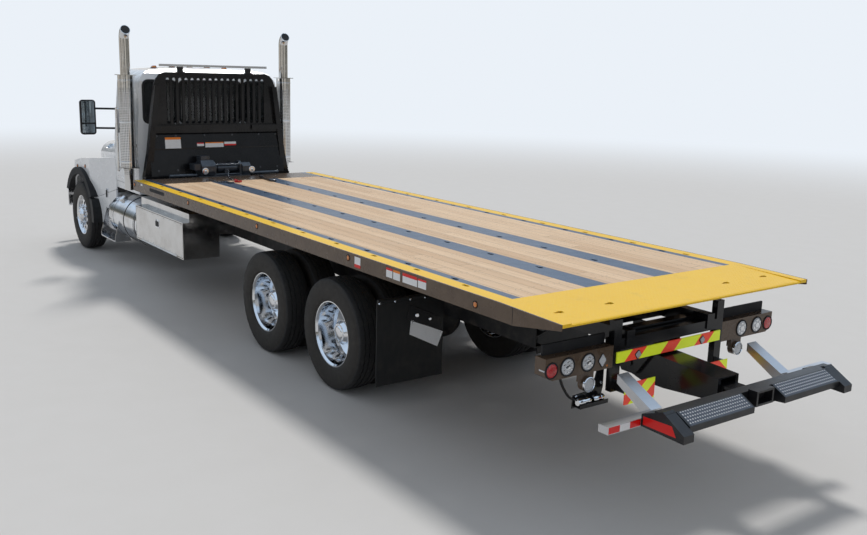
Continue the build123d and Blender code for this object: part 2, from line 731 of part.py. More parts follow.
# Exhaust stacks: lower pipe, heat shield, upper pipe with its turned tip, and the grab rail
with BuildPart() as exhaust_stacks:
    for z in ((1130, 1420), (2635, 3090)):
        rod((stack_x, stack_y, z[0]), (stack_x, stack_y, z[1]), stack_r)
    rod((stack_x, stack_y, 1420), (stack_x, stack_y, 2635), shield_r)
    with BuildSketch(Plane.XY.offset(3090)) as tip:
        with Locations((stack_x, stack_y)):
            Circle(stack_r)
    revolve(tip.sketch, axis=Axis((stack_x - 130, stack_y, 3090), (0, -1, 0)), revolution_arc=62)
    for z in (1420, 2627):
        block((stack_x - 106, stack_x + 106), (stack_y - 106, stack_y + 106), (z, z + 8))
    rod((3075, 1250, 1370), (3075, 1250, 2210), 16)
    for z in (1390, 2190):
        rod((3075, 1250, z), (stack_x + 40, stack_y + 60, max(z, 1440)), 12)
    for z in (1500, 1710):
        block((stack_x - 30, stack_x + 30), (cab_half, cab_half + 30), (z - 20, z + 20))
    mirror(about=Plane.XZ)
pieces["exhaust_stacks"] = exhaust_stacks

# Headboard: slotted upper plate, ledge, sloped lower panel, side posts and its pedestal
guard_outline = [(868, 2512), (838, 2595), (790, 2655), (717, 2684)]
with BuildPart() as cab_guard:
    lower_right = [(1044, deck_z), (984, 1630), (868, 2512)]
    outline = lower_right + guard_outline[1:]
    front_prism(outline + [(-y, z) for y, z in reversed(outline)], (guard_x, guard_x + guard_t))
    block((guard_x - 50, guard_x + 50), (-1100, 1100), (deck_z, 1990), mode=Mode.SUBTRACT)
    with BuildSketch(Plane.YZ.offset(guard_x - 10)) as slots:
        with Locations((0, (guard_slot_low + guard_slot_high) / 2)):
            with GridLocations(guard_slot_pitch, 1, guard_slots, 1):
                SlotOverall(guard_slot_high - guard_slot_low, guard_slot_w, rotation=90)
    extrude(slots.sketch, amount=guard_t + 20, mode=Mode.SUBTRACT)
    side_prism([(guard_x - 85, deck_z), (guard_x - 65, deck_z), (guard_x - 16, 1676),
                (guard_x - 38, 1676)], (-960, 960))
    side_prism([(guard_x - 48, 1690), (guard_x - 48, 1676), (guard_x, 1676), (guard_x + 10, 1900),
                (guard_x - 10, 1900), (guard_x - 26, 1870)], (-930, 930))
    block((guard_x - 45, guard_x + guard_t), (-905, 905), (1892, 2000))
    for low, high in ((480, 905), (-905, -480)):
        block((guard_x - 75, guard_x), (low, high), (1925, 1990))
    for side in (1, -1):
        post = [(side * y, z) for y, z in ((1044, deck_z), (984, 1630), (868, 2512), (800, 2512),
                                           (905, 1640), (940, deck_z))]
        front_prism(post, (guard_x - 60, guard_x + 40))
        low, high = sorted((side * 340, side * 430))
        block((guard_x - 70, guard_x + 20), (low, high), (rail_top, deck_z - 80))
    block((guard_x - 85, guard_x + 40), (-1044, 1044), (deck_z - 80, deck_z))
pieces["cab_guard"] = cab_guard

# Light bar on the cab's back edge
with BuildPart() as light_bar:
    block((2740, 2800), (-758, 758), (2755, 2785))
    for y in (484, -484):
        block((2755, 2785), (y - 40, y + 40), (2684, 2755))
        block((guard_x, 2790), (y - 50, y + 50), (2684, 2692))
pieces["light_bar"] = light_bar

# Fuel tanks with their straps and the cab steps
with BuildPart() as fuel_tanks:
    rod((tank_back, tank_y, tank_z), (tank_front, tank_y, tank_z), tank_r)
    for x in (tank_back + 150, tank_back + 560, tank_front - 150):
        rod((x - 25, tank_y, tank_z), (x + 25, tank_y, tank_z), tank_r + 6)
        block((x - 25, x + 25), (rail_y, tank_y), (rail_low + 60, rail_low + 180))
    for x in (3470, 4090):
        front_prism([(1000, 340), (1215, 340), (1215, 400), (1120, 740), (1000, 740)], (x, x + 12))
    block((3470, 4102), (1040, 1215), (340, 352))
    block((3470, 4102), (1020, 1130), (728, 740))
    mirror(about=Plane.XZ)
pieces["fuel_tanks"] = fuel_tanks

# Tool boxes: hollow bright boxes with a set-back upper part and a drop-down door each
for name, side in sides.items():
    low, high = sorted((side * box_in, side * box_out))
    with BuildPart() as toolbox:
        block((box_back, box_front), (low, high), (box_low, box_high))
        inner = sorted((side * (box_in + box_wall), side * (box_out + 5)))
        block((box_back + box_wall, box_front - box_wall), inner, (box_low + box_wall, box_high - box_wall),
              mode=Mode.SUBTRACT)
        upper = sorted((side * box_in, side * (box_out - 80)))
        block((box_back, box_front), upper, (box_high, 1080))
        for x in (box_back + 300, box_front - 300):
            arm = sorted((side * rail_y, side * box_in))
            block((x - 40, x + 40), arm, (760, 880))
    pieces[f"toolbox_{name}"] = toolbox
    with BuildPart() as toolbox_door:
        face = sorted((side * (box_out - box_door_t), side * box_out))
        block((box_back + box_wall + panel_gap, box_front - box_wall - panel_gap), face,
              (box_low + box_wall + panel_gap, box_high - box_wall - panel_gap))
        hinge_y = side * (box_out + 6)
        rod((box_back + 200, hinge_y, box_low + 8), (box_front - 200, hinge_y, box_low + 8), 6)
        lug = sorted((side * (box_out - 8), side * (box_out + 6)))
        block((box_back + 200, box_front - 200), lug, (box_low + 12, box_low + 22))
    pieces[f"toolbox_door_{name}"] = toolbox_door

# Mirrors: a head each side on an arm from the cab's front pillar
with BuildPart() as mirrors:
    with BuildSketch(Plane.YZ.offset(4000)) as head:
        with Locations((1350, 2030)):
            RectangleRounded(210, 480, 42)
    extrude(head.sketch, amount=30)
    extrude(head.sketch, amount=80, taper=8)
    for z in (1880, 2150):
        rod((3890, 955, z), (4040, 1300, z), 14)
    add(cab_solid.part, mode=Mode.SUBTRACT)
    mirror(about=Plane.XZ)
pieces["mirrors"] = mirrors

# Knuckles: kingpin bosses and spindles
for name, side in sides.items():
    with BuildPart() as knuckle:
        for z in ((415, 470), (540, 595)):
            rod((front_axle_x, side * kingpin_y, z[0]), (front_axle_x, side * kingpin_y, z[1]), 48)
        web = sorted((side * (kingpin_y + 40), side * (kingpin_y + 60)))
        block((front_axle_x - 45, front_axle_x + 45), web, (415, 595))
        rod((front_axle_x, side * (kingpin_y + 50), axle_z),
            (front_axle_x, side * (front_wheel_y + 66), axle_z), spindle_r)
        rod((front_axle_x, side * (kingpin_y + 60), axle_z),
            (front_axle_x, side * (kingpin_y + 75), axle_z), 190)
        rod((front_axle_x, side * kingpin_y, 380), (front_axle_x, side * kingpin_y, 620),
            kingpin_r + seat_gap, mode=Mode.SUBTRACT)
    pieces[f"knuckle_{name}"] = knuckle

# Subframe: two box rails, cross members below the bed, hinge and lift lugs, the bed cylinder's
# barrel, and the rear hanger that carries the wheel lift
sub_in = sub_rail_y - sub_rail_w
lug_low = tilt_z - tilt_eye_r
hanger_front = -4780
post_y = 585
with BuildPart() as subframe:
    block((sub_back, sub_front), (sub_in, sub_rail_y), (rail_top + seat_gap, sub_top))
    for x in (-5100, -4500, -3200, -1800, 0, slide_base_x - 60, 2200):
        block((x - 40, x + 40), (0, sub_in), (1010, 1080))
    side_prism([(tilt_x - 90, rail_top + seat_gap), (tilt_x - tilt_eye_r, tilt_z),
                (tilt_x - 30, lug_low), (tilt_x + 30, lug_low), (tilt_x + tilt_eye_r, tilt_z),
                (tilt_x + 90, rail_top + seat_gap)], (rail_y + 5, sub_rail_y))
    rod((tilt_x, 300, tilt_z), (tilt_x, 500, tilt_z), tilt_pin_r + seat_gap, mode=Mode.SUBTRACT)
    # Lift cylinder lugs with the heads of their pins
    block((lift_eye_x + 55, lift_eye_x + lug_reach), (lift_y - 60, sub_in), (1075, sub_top - 5))
    for y in (lift_y - 60, lift_y + 45):
        block((lift_eye_x - 50, lift_eye_x + lug_reach), (y, y + 15), (lift_eye_z - 45, sub_top - 5))
    rod((lift_eye_x, lift_y - 70, lift_eye_z), (lift_eye_x, lift_y - 60, lift_eye_z), 28)
    rod((lift_eye_x, lift_y + 60, lift_eye_z), (lift_eye_x, lift_y + 70, lift_eye_z), 28)
    mirror(about=Plane.XZ)
    # Bed cylinder
    rod((slide_base_x, 0, slide_z), (slide_end_x, 0, slide_z), 40)
    rod((slide_base_x - 30, 0, slide_z), (slide_end_x - 10, 0, slide_z), 25 + seat_gap,
        mode=Mode.SUBTRACT)
    for x in (slide_base_x - 60, 0, -1800):
        block((x - 30, x + 30), (-45, -37), (1060, slide_z))
        block((x - 30, x + 30), (37, 45), (1060, slide_z))
    # Rear hanger
    for side in (1, -1):
        low, high = sorted((side * (boom_half + 8), side * (boom_half + 33)))
        side_prism([(hanger_front, 1010), (-5210, 1010), (-5210, 900), (-5060, 690), (-4930, 690),
                    (hanger_front, 900)], (low, high))
    rod((mast_x, -boom_half - 45, mast_z), (mast_x, boom_half + 45, mast_z), 28)
    block((hanger_front - 60, hanger_front), (-sub_in, sub_in), (1010, 1080))
    block((sub_back + 10, sub_back + 90), (-post_y, post_y), (980, 1060))
    for side in (1, -1):
        low, high = sorted((side * 510, side * post_y))
        block((sub_back + 10, sub_back + 60), (low, high), (690, 1195))
        low, high = sorted((side * 515, side * 540))
        block((board_x, sub_back + 20), (low, high), (695, 760))
pieces["subframe"] = subframe

# Lamp boxes each side of the rear, and the striped boards between them
lamp_face = sub_back + 10
lamps_y = [816, 1007, 1151]
lamp_z = 940
lamp_r = 54
with BuildPart() as lamp_boxes:
    for side in (1, -1):
        corners = ((post_y, 869), (1140, 869), (1205, 905), (1205, 1024), (post_y, 1024))
        front_prism([(side * y, z) for y, z in corners], (lamp_face, lamp_face + 100))
        low, high = sorted((side * 740, side * 860))
        block((lamp_face + 20, lamp_face + 60), (low, high), (800, 870))
        rod((lamp_face, side * 800, 785), (lamp_face + 55, side * 800, 785), 52)
        for y in lamps_y:
            rod((lamp_face - 5, side * y, lamp_z), (lamp_face + 60, side * y, lamp_z),
                lamp_r + seat_gap, mode=Mode.SUBTRACT)
pieces["lamp_boxes"] = lamp_boxes

with BuildPart() as tail_lamps:
    for side in (1, -1):
        for y in lamps_y:
            rod((lamp_face - 2, side * y, lamp_z), (lamp_face + 60, side * y, lamp_z), lamp_r)
pieces["tail_lamps"] = tail_lamps

with BuildPart() as warning_boards:
    block((lamp_face - 10, lamp_face), (-553, 553), (892, 969))
    for side in sides.values():
        low, high = sorted((side * 250, side * 550))
        block((board_x - 8, board_x), (low, high), (620, 770))
pieces["warning_boards"] = warning_boards

# Lift cylinders, whose barrels end short of the subframe's lugs
lift_way = Vector(lift_eye_x - lift_base_x, 0, lift_eye_z - lift_base_z)
lift_dir = lift_way.normalized()


def along_lift(distance, y):
    """The point at a distance from the base pin along the lift cylinder's line."""
    p = Vector(lift_base_x, y, lift_base_z) + lift_dir * distance
    return (p.X, p.Y, p.Z)


lift_length = lift_way.length
barrel_length = lift_length - lug_reach - 21
rod_start = barrel_length - 505
rod_r = 28
with BuildPart() as lift_barrels:
    rod(along_lift(110, lift_y), along_lift(barrel_length, lift_y), barrel_r)
    rod(along_lift(20, lift_y), along_lift(120, lift_y), rod_r)
    rod((lift_base_x, lift_y - 30, lift_base_z), (lift_base_x, lift_y + 30, lift_base_z), 48)
    rod(along_lift(130, lift_y), along_lift(barrel_length - 30, lift_y), barrel_r - 8,
        mode=Mode.SUBTRACT)
    rod(along_lift(130, lift_y), along_lift(barrel_length + 10, lift_y), rod_r + seat_gap,
        mode=Mode.SUBTRACT)
    rod((lift_base_x, lift_y - 50, lift_base_z), (lift_base_x, lift_y + 50, lift_base_z),
        lift_pin_r + seat_gap, mode=Mode.SUBTRACT)
    mirror(about=Plane.XZ)
pieces["lift_barrels"] = lift_barrels

with BuildPart() as lift_rods:
    rod(along_lift(rod_start, lift_y), along_lift(lift_length, lift_y), rod_r)
    rod((lift_eye_x, lift_y - 38, lift_eye_z), (lift_eye_x, lift_y + 38, lift_eye_z), 40)
    mirror(about=Plane.XZ)
pieces["lift_rods"] = lift_rods

# Wheel lift: boom, sliding tongue, cross bar with its steps and receiver, and the arms
with BuildPart() as lift_boom:
    side_prism([(mast_x + 50, 690), (mast_x + 50, 850), (mast_x - 100, 880), (boom_end, 850),
                (boom_end, 690), (mast_x - 300, 650), (mast_x - 100, 650)],
               (-boom_half, boom_half))
    block((boom_end - 10, mast_x - 150), (-80, 80), (700, 840), mode=Mode.SUBTRACT)
    rod((mast_x, -200, mast_z), (mast_x, 200, mast_z), 28 + seat_gap, mode=Mode.SUBTRACT)
pieces["lift_boom"] = lift_boom

pin_r = 25
with BuildPart() as lift_tongue:
    block((swivel_x - 40, mast_x - 180), (-74, 74), (700 + seat_gap, 800))
    block((swivel_x - 60, swivel_x + 60), (-75, 75), (720, 780), mode=Mode.SUBTRACT)
    rod((swivel_x, 0, 700 + seat_gap), (swivel_x, 0, 800), pin_r)
pieces["lift_tongue"] = lift_tongue

with BuildPart() as crossbar:
    block((swivel_x - 90, swivel_x + 40), (-70, 70), (725, 775))
    block((swivel_x - 140, swivel_x - 60), (-cross_half, cross_half), (cross_z, 830))
    rod((swivel_x, 0, 600), (swivel_x, 0, 900), pin_r + seat_gap, mode=Mode.SUBTRACT)
    for side in (1, -1):
        low, high = sorted((side * 165, side * 800))
        side_prism([(swivel_x - 140, 800), (swivel_x - 140, 830), (step_back + 40, 770),
                    (step_back + 40, 730), (swivel_x - 140, 720)], (low, high))
        cap = sorted((side * 806, side * cross_half))
        side_prism([(swivel_x + 40, 780), (swivel_x + 40, 700), (step_back, 690), (step_back, 740),
                    (swivel_x - 120, 840)], cap)
    block((swivel_x - 210, swivel_x - 140), (-92, 92), (740, 844))
    block((swivel_x - 230, swivel_x - 150), (-75, 75), (755, 830), mode=Mode.SUBTRACT)
pieces["crossbar"] = crossbar

with BuildPart() as l_arms:
    block((swivel_x + 40, swivel_x + 120), (700, 1190), (700, 750))
    with BuildPart(Plane.XY, mode=Mode.PRIVATE) as leg:
        side_prism([(swivel_x + 100, 700), (swivel_x + 100, 750), (swivel_x + 400, 900),
                    (swivel_x + 400, 840), (swivel_x + 160, 700)], (640, 740))
    add(leg.part)
    mirror(about=Plane.XZ)
pieces["l_arms"] = l_arms

# Bed: runners, sills, side rails, front plate and the bed cylinder's rod with its bracket
runner_in = sub_in + 10
runner_out = sub_rail_y - 10
runner_top = deck_z - board_t - sill_h
fascia_low = deck_z - fascia_h
sill_pitch = 400
rod_back = slide_end_x - 50
with BuildPart() as bed_frame:
    block((tail_front - 100, bed_front), (runner_in, runner_out), (sub_top + seat_gap, runner_top))
    sill_count = int((bed_front - tail_front) / sill_pitch) + 1
    for i in range(sill_count):
        x = bed_front - 40 - i * sill_pitch
        block((x - 30, x + 30), (0, bed_half - fascia_wall), (runner_top, deck_z - board_t))
    side_prism([(bed_front, fascia_low), (bed_front, deck_z), (tail_front, deck_z), (tail_end, tail_top + 8),
                (tail_end, tail_top - 32), (bed_seam, fascia_low)], (bed_half - fascia_wall, bed_half))
    # Closed underside of the tail with its ribs
    side_prism([(bed_seam, fascia_low + 6), (bed_seam, fascia_low + 16), (tail_end + 40, tail_top - 22),
                (tail_end + 40, tail_top - 32)], (0, bed_half - fascia_wall))
    block((bed_seam, bed_seam + 10), (0, bed_half - fascia_wall), (fascia_low + 6, deck_z - board_t))
    for y in (310, 850):
        side_prism([(bed_seam, fascia_low + 6), (bed_seam, deck_z - 45), (tail_end + 60, tail_top - 26),
                    (tail_end + 60, tail_top - 28)], (y, y + 10))
    block((bed_seam, bed_front), (bed_half - 75, bed_half), (fascia_low, fascia_low + 8))
    block((bed_front - 12, bed_front), (0, bed_half), (fascia_low, deck_z))
    block((wood_front, bed_front), (0, slot_strip_y), (deck_z - steel_t, deck_z))
    block((wood_front, wood_front + 12), (0, slot_strip_y), (deck_z - board_t, deck_z))
    mirror(about=Plane.XZ)
    block((rod_back - 30, rod_back + 30), (-40, 40), (slide_z - 35, runner_top + 10))
    block((rod_back - 30, rod_back + 30), (-runner_in, runner_in), (runner_top - 20, runner_top))
    rod((rod_back, 0, slide_z), (slide_base_x - 50, 0, slide_z), 25)
pieces["bed_frame"] = bed_frame

# Timber: planks between the steel channels
plank_gap = 2
wood_bands = [(channel_y + channel_w / 2, slot_strip_y, 5), (-(channel_y - channel_w / 2),
              channel_y - channel_w / 2, 4), (-slot_strip_y, -(channel_y + channel_w / 2), 5)]
with BuildPart() as deck_boards:
    for low, high, count in wood_bands:
        width = (high - low) / count
        for i in range(count):
            block((tail_front, wood_front), (low + i * width + plank_gap / 2,
                  low + (i + 1) * width - plank_gap / 2), (deck_z - board_t, deck_z))
pieces["deck_boards"] = deck_boards

# Steel let into the deck: two channels and two outer strips, with key slots for chain hooks
key_outline = [(-16, -18), (14, -18), (22, -10), (52, -7), (52, 7), (22, 10), (14, 18), (-16, 18), (-24, 10),
               (-24, -10)]
with BuildPart() as deck_channels:
    for y in (channel_y, -channel_y):
        block((tail_front, wood_front), (y - channel_w / 2, y + channel_w / 2), (deck_low, deck_z))
        block((tail_front - 5, wood_front + 5), (y - channel_w / 2 + 6, y + channel_w / 2 - 6),
              (deck_low - 5, deck_z - steel_t), mode=Mode.SUBTRACT)
    for side in (1, -1):
        low, high = sorted((side * slot_strip_y, side * strip_y))
        block((tail_front, bed_front - 12), (low, high), (deck_z - steel_t, deck_z))
        low, high = sorted((side * slot_strip_y, side * (slot_strip_y + 8)))
        block((tail_front, wood_front), (low, high), (deck_low, deck_z))
    channel_rows = [side * (channel_y - key_offset) for side in sides.values()]
    deck_holes(key_outline, key_x, wood_front, channel_rows)
    strip_rows = [side * (slot_strip_y + strip_y + 8) / 2 for side in sides.values()]
    deck_holes(key_outline, key_x, bed_front - 100, strip_rows)
pieces["deck_channels"] = deck_channels

# Yellow edge strips with their oval stake pockets
pocket_outline = [(-34, -8), (-26, -15), (26, -15), (34, -8), (34, 8), (26, 15), (-26, 15), (-34, 8)]
with BuildPart() as edge_strips:
    for side in (1, -1):
        low, high = sorted((side * strip_y, side * (bed_half - fascia_wall)))
        block((tail_front, bed_front - 12), (low, high), (deck_z - steel_t, deck_z))
        low, high = sorted((side * (pocket_y + 24), side * (pocket_y + 32)))
        block((tail_front, bed_front - 12), (low, high), (deck_low, deck_z - steel_t))
    deck_holes(pocket_outline, pocket_x, bed_front - 60, [side * pocket_y for side in sides.values()])
pieces["edge_strips"] = edge_strips

# Tail: a yellow approach plate with a raised rail along each side and keyholes for chain hooks
tail_key_x = -5215
tail_keys_y = [1080, 620]
with BuildPart() as tail_plate:
    side_prism([(tail_front, deck_z), (tail_end + 12, tail_top), (tail_end, tail_top - 5),
                (tail_end, tail_top - 16), (tail_front, deck_z - board_t + 15)],
               (-bed_half + fascia_wall, bed_half - fascia_wall))
    for side in sides.values():
        for y in tail_keys_y:
            plan_prism([(tail_key_x - b, side * y + a) for a, b in key_outline], (deck_z - 60, deck_z + 20),
                       mode=Mode.SUBTRACT)
        rail = sorted((side * (strip_y + 48), side * (bed_half - fascia_wall)))
        side_prism([(tail_front, deck_z - 4), (tail_front, deck_z), (tail_end, tail_top + 8),
                    (tail_end, tail_top - 8)], rail)
pieces["tail_plate"] = tail_plate

# Winch on the bed's front edge: base with side tubes, gear housing, motor housing, drum and ties
winch_x = 2470
winch_z = 1432
drum_half = 170
winch_back = 2353
with BuildPart() as winch:
    block((2330, 2590), (-300, 430), (deck_z + seat_gap, deck_z + 12))
    block((bed_front + seat_gap, 2590), (-300, 430), (deck_z - 60, deck_z + 12))
    for low, high in ((430, 800), (-760, -300)):
        rod((2420, low, deck_z + 22), (2420, high, deck_z + 22), 22)
        block((2400, 2440), (low, low + 20) if low < 0 else (high - 20, high), (deck_z - 60, deck_z))
        block((bed_front + seat_gap, 2440), (low, high), (deck_z - 60, deck_z - 48))
    # Gear housing, cut to eight sides, with its clutch end facing back
    gear = [(2370, 1350), (2350, 1400), (2350, 1470), (2400, 1545), (2520, 1545), (2590, 1480), (2590, 1380),
            (2560, 1332), (2400, 1332)]
    side_prism(gear, (drum_half + 30, drum_half + 210))
    side_prism([(x, z - 14) for x, z in gear[:3]] + [(2400, 1500), (2520, 1500)] + gear[5:],
               (-drum_half - 150, -drum_half - 30))
    for y in (333, -333):
        rod((winch_back, y, 1407), (2430, y, 1407), 44)
        rod((winch_back - 6, y, 1407), (winch_back, y, 1407), 38)
    block((2380, 2560), (drum_half + 210, drum_half + 300), (1420, 1500))
    block((2430, 2580), (drum_half + 70, drum_half + 190), (1540, 1596))
    # End plates, drum with its wound rope, tie bars and the rope's guide
    for y in (drum_half, -drum_half - 30):
        side_prism([(2380, 1330), (2380, 1480), (2430, 1520), (2520, 1520), (2560, 1480), (2560, 1330)],
                   (y, y + 30))
    rod((winch_x, -drum_half, winch_z), (winch_x, drum_half, winch_z), 42)
    rod((winch_x, -drum_half + 26, winch_z), (winch_x, drum_half - 40, winch_z), 62)
    for x, z in ((2400, 1478), (2540, 1478), (2400, 1352)):
        rod((x, -drum_half, z), (x, drum_half, z), 11)
    block((rope_start, 2420), (-20, 40), (1395, 1425))
    block((2400, 2420), (-20, 40), (1345, 1425))
pieces["winch"] = winch

# Winch rope: straight runs joined by tangent arcs, from its guide down to the hook on the deck
rope_r = 6
rope_route = [(rope_start, 10, 1410), (2330, 10, 1410), (2240, 60, 1352), (2130, 96, 1337),
              (2020, 128, 1337), (1925, 138, 1337), (hook_start, 150, 1337)]
with BuildPart() as winch_rope:
    with BuildLine() as route:
        radii = []
        for a, b, c in zip(rope_route, rope_route[1:], rope_route[2:]):
            run_in = Vector(*b) - Vector(*a)
            run_out = Vector(*c) - Vector(*b)
            turn = math.radians(run_in.get_angle(run_out))
            radii.append(0.45 * min(run_in.length, run_out.length) / math.tan(turn / 2))
        FilletPolyline(*rope_route, radius=radii)
    with BuildSketch(Plane(origin=route.line @ 0, z_dir=route.line % 0)):
        Circle(rope_r)
    sweep()
pieces["winch_rope"] = winch_rope

# Winch hook lying on the deck: socket, shank and an open curved hook
with BuildPart() as winch_hook:
    tail_way = Vector(*rope_route[-1]) - Vector(*rope_route[-2])
    along = Vector(tail_way.X, tail_way.Y, 0).normalized()
    flat = Plane(origin=(hook_start, 150, 1331), x_dir=along, z_dir=(0, 0, 1))
    with BuildSketch(flat) as outline:
        with BuildLine():
            Polyline((0, -11), (58, -13), (70, -24), (96, -26), (118, -44), (176, -50), (214, -20), (214, 14),
                     (188, 40), (146, 46), (132, 38), (136, 24), (150, 22), (170, 18), (182, 4), (180, -12),
                     (166, -24), (138, -24), (120, -10), (110, 14), (70, 22), (58, 13), (0, 11), close=True)
        make_face()
    extrude(outline.sketch, amount=22)
pieces["winch_hook"] = winch_hook

os.makedirs("parts", exist_ok=True)
for name, piece in pieces.items():
    piece.part.label = name
    export_step(piece.part, f"parts/{name}.step")
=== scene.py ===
import json
import math

import bmesh
import bpy
import numpy as np
from mathutils import Matrix, Vector
from mathutils.bvhtree import BVHTree


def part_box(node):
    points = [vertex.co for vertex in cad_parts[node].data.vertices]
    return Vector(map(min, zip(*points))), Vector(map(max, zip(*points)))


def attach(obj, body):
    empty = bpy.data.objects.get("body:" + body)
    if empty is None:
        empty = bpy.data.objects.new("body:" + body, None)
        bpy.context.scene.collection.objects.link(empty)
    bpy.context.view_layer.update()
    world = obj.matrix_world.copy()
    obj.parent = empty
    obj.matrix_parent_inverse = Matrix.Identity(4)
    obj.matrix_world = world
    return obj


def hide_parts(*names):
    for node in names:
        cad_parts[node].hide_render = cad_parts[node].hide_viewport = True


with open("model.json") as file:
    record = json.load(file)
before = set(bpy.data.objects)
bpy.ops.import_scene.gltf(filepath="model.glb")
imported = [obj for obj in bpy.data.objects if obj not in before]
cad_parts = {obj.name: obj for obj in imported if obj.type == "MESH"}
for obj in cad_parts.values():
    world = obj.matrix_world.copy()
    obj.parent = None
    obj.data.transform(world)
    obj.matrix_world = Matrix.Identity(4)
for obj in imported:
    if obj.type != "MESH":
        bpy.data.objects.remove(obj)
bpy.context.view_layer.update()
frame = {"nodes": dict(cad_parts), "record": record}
SIDES = {"left": 1, "right": -1}
FRONT_AXLE, MID_AXLE, REAR_AXLE = 5.036, -1.18, -2.5
FORWARD, BACK, UP, DOWN = (1, 0, 0), (-1, 0, 0), (0, 0, 1), (0, 0, -1)


def put(name, data):
    """A new object in the scene."""
    made = bpy.data.objects.new(name, data)
    bpy.context.collection.objects.link(made)
    return made


# Camera

EYE = Vector((-9.35835, 5.13866, 2.80908))
YAW, PITCH, ROLL = -0.633698, 0.210217, 0.0283328
FOCUS, PHOTO_WIDTH, SENSOR = 926.857, 867, 36
ahead = Vector((math.cos(PITCH) * math.cos(YAW), math.cos(PITCH) * math.sin(YAW), -math.sin(PITCH)))
level = Vector((math.sin(YAW), -math.cos(YAW), 0))
upward = level.cross(ahead)
right = level * math.cos(ROLL) + upward * math.sin(ROLL)
up = upward * math.cos(ROLL) - level * math.sin(ROLL)
camera = put("camera", bpy.data.cameras.new("camera"))
camera.matrix_world = Matrix((
    (right.x, up.x, -ahead.x, EYE.x), (right.y, up.y, -ahead.y, EYE.y),
    (right.z, up.z, -ahead.z, EYE.z), (0, 0, 0, 1)))
camera.data.sensor_width = SENSOR
camera.data.lens = FOCUS * SENSOR / PHOTO_WIDTH
camera.data.clip_end = 200
bpy.context.scene.camera = camera
bpy.context.scene.view_settings.view_transform = "Standard"

# Materials


class Value:
    """A number in a node tree: arithmetic on it builds Math nodes."""

    def __init__(self, nodes, socket):
        self.nodes = nodes
        self.socket = socket

    def do(self, operation, *others):
        return Value(self.nodes, self.nodes.fed("ShaderNodeMath", (self, *others), operation=operation).outputs[0])

    def __add__(self, other):
        return self.do("ADD", other)

    def __sub__(self, other):
        return self.do("SUBTRACT", other)

    def __mul__(self, other):
        return self.do("MULTIPLY", other)

    def __truediv__(self, other):
        return self.do("DIVIDE", other)

    def __rsub__(self, other):
        return (self * -1) + other

    __radd__ = __add__
    __rmul__ = __mul__

    def mod(self, size):
        """What is left over after whole sizes, from 0 up to the size."""
        return self.do("FLOORED_MODULO", size)

    def cell(self, size):
        """The number of whole sizes below the value."""
        return (self / size).do("FLOOR")

    def step(self, low, high):
        """Smoothly 0 below low and 1 above high."""
        node = self.nodes.fed("ShaderNodeMapRange", (self, low, high), interpolation_type="SMOOTHSTEP")
        return Value(self.nodes, node.outputs[0])

    def hill(self, centre, half, soft):
        """1 within half of the centre, 0 beyond half plus soft."""
        return 1 - (self - centre).do("ABSOLUTE").step(half, half + soft)

    def most(self, other):
        return self.do("MAXIMUM", other)


class Nodes:
    """A node tree and its coordinates, with short ways to add nodes and to feed their sockets."""

    def __init__(self, tree, coordinates):
        self.tree = tree
        self.place = self.add("ShaderNodeTexCoord").outputs[coordinates]
        self.x, self.y, self.z = self.split(self.place)

    def add(self, kind, **settings):
        node = self.tree.nodes.new(kind)
        for key, setting in settings.items():
            setattr(node, key, setting)
        return node

    def feed(self, socket, value):
        if isinstance(value, Value):
            value = value.socket
        if isinstance(value, bpy.types.NodeSocket):
            self.tree.links.new(value, socket)
        elif isinstance(value, tuple):
            socket.default_value = (*value[:3], 1) if len(socket.default_value) == 4 else value
        else:
            socket.default_value = value

    def fed(self, kind, values, **settings):
        """A new node with its first sockets fed."""
        node = self.add(kind, **settings)
        for socket, value in zip(node.inputs, values):
            self.feed(socket, value)
        return node

    def split(self, vector):
        return [Value(self, out) for out in self.fed("ShaderNodeSeparateXYZ", (vector,)).outputs]

    def join(self, *values):
        return self.fed("ShaderNodeCombineXYZ", values).outputs[0]

    def texture(self, kind, at, **inputs):
        """A texture at a place, or else on the tree's own coordinates."""
        node = self.add("ShaderNodeTex" + kind)
        self.feed(node.inputs["Vector"], self.place if at is None else at)
        for key, value in inputs.items():
            node.inputs[key.title()].default_value = value
        return node

    def noise(self, scale, detail=3, rough=0.55, at=None, distortion=0.0):
        node = self.texture("Noise", at, scale=scale, detail=detail, roughness=rough, distortion=distortion)
        return Value(self, node.outputs[0])

    def cells(self, scale, at=None):
        return Value(self, self.texture("Voronoi", at, scale=scale).outputs["Distance"])

    def chance(self, x, y):
        """One random number from 0 to 1 for each pair of whole numbers."""
        node = self.fed("ShaderNodeTexWhiteNoise", (self.join(x, y, 0.0),), noise_dimensions="3D")
        return Value(self, node.outputs["Value"])

    def blend(self, share, first, second):
        """The first colour, and the second where the share is 1."""
        node = self.add("ShaderNodeMix", data_type="RGBA")
        for k, value in ((0, share), (6, first), (7, second)):
            self.feed(node.inputs[k], value)
        return node.outputs[2]

    def over(self, share, first, second):
        """The first shader, and the second where the share is 1."""
        return self.fed("ShaderNodeMixShader", (share, first, second)).outputs[0]

    def light(self, kind, colour, strength=1.0):
        return self.fed("ShaderNode" + kind, (colour, strength)).outputs[0]

    def ray(self, kind):
        """1 for what rays of this kind see."""
        return Value(self, self.add("ShaderNodeLightPath").outputs[f"Is {kind} Ray"])


INPUTS = {"rough": "Roughness", "metal": "Metallic", "coat": "Coat Weight", "haze": "Coat Roughness",
          "shine": "Specular IOR Level", "sheen": "Sheen Weight", "glow": "Emission Strength"}


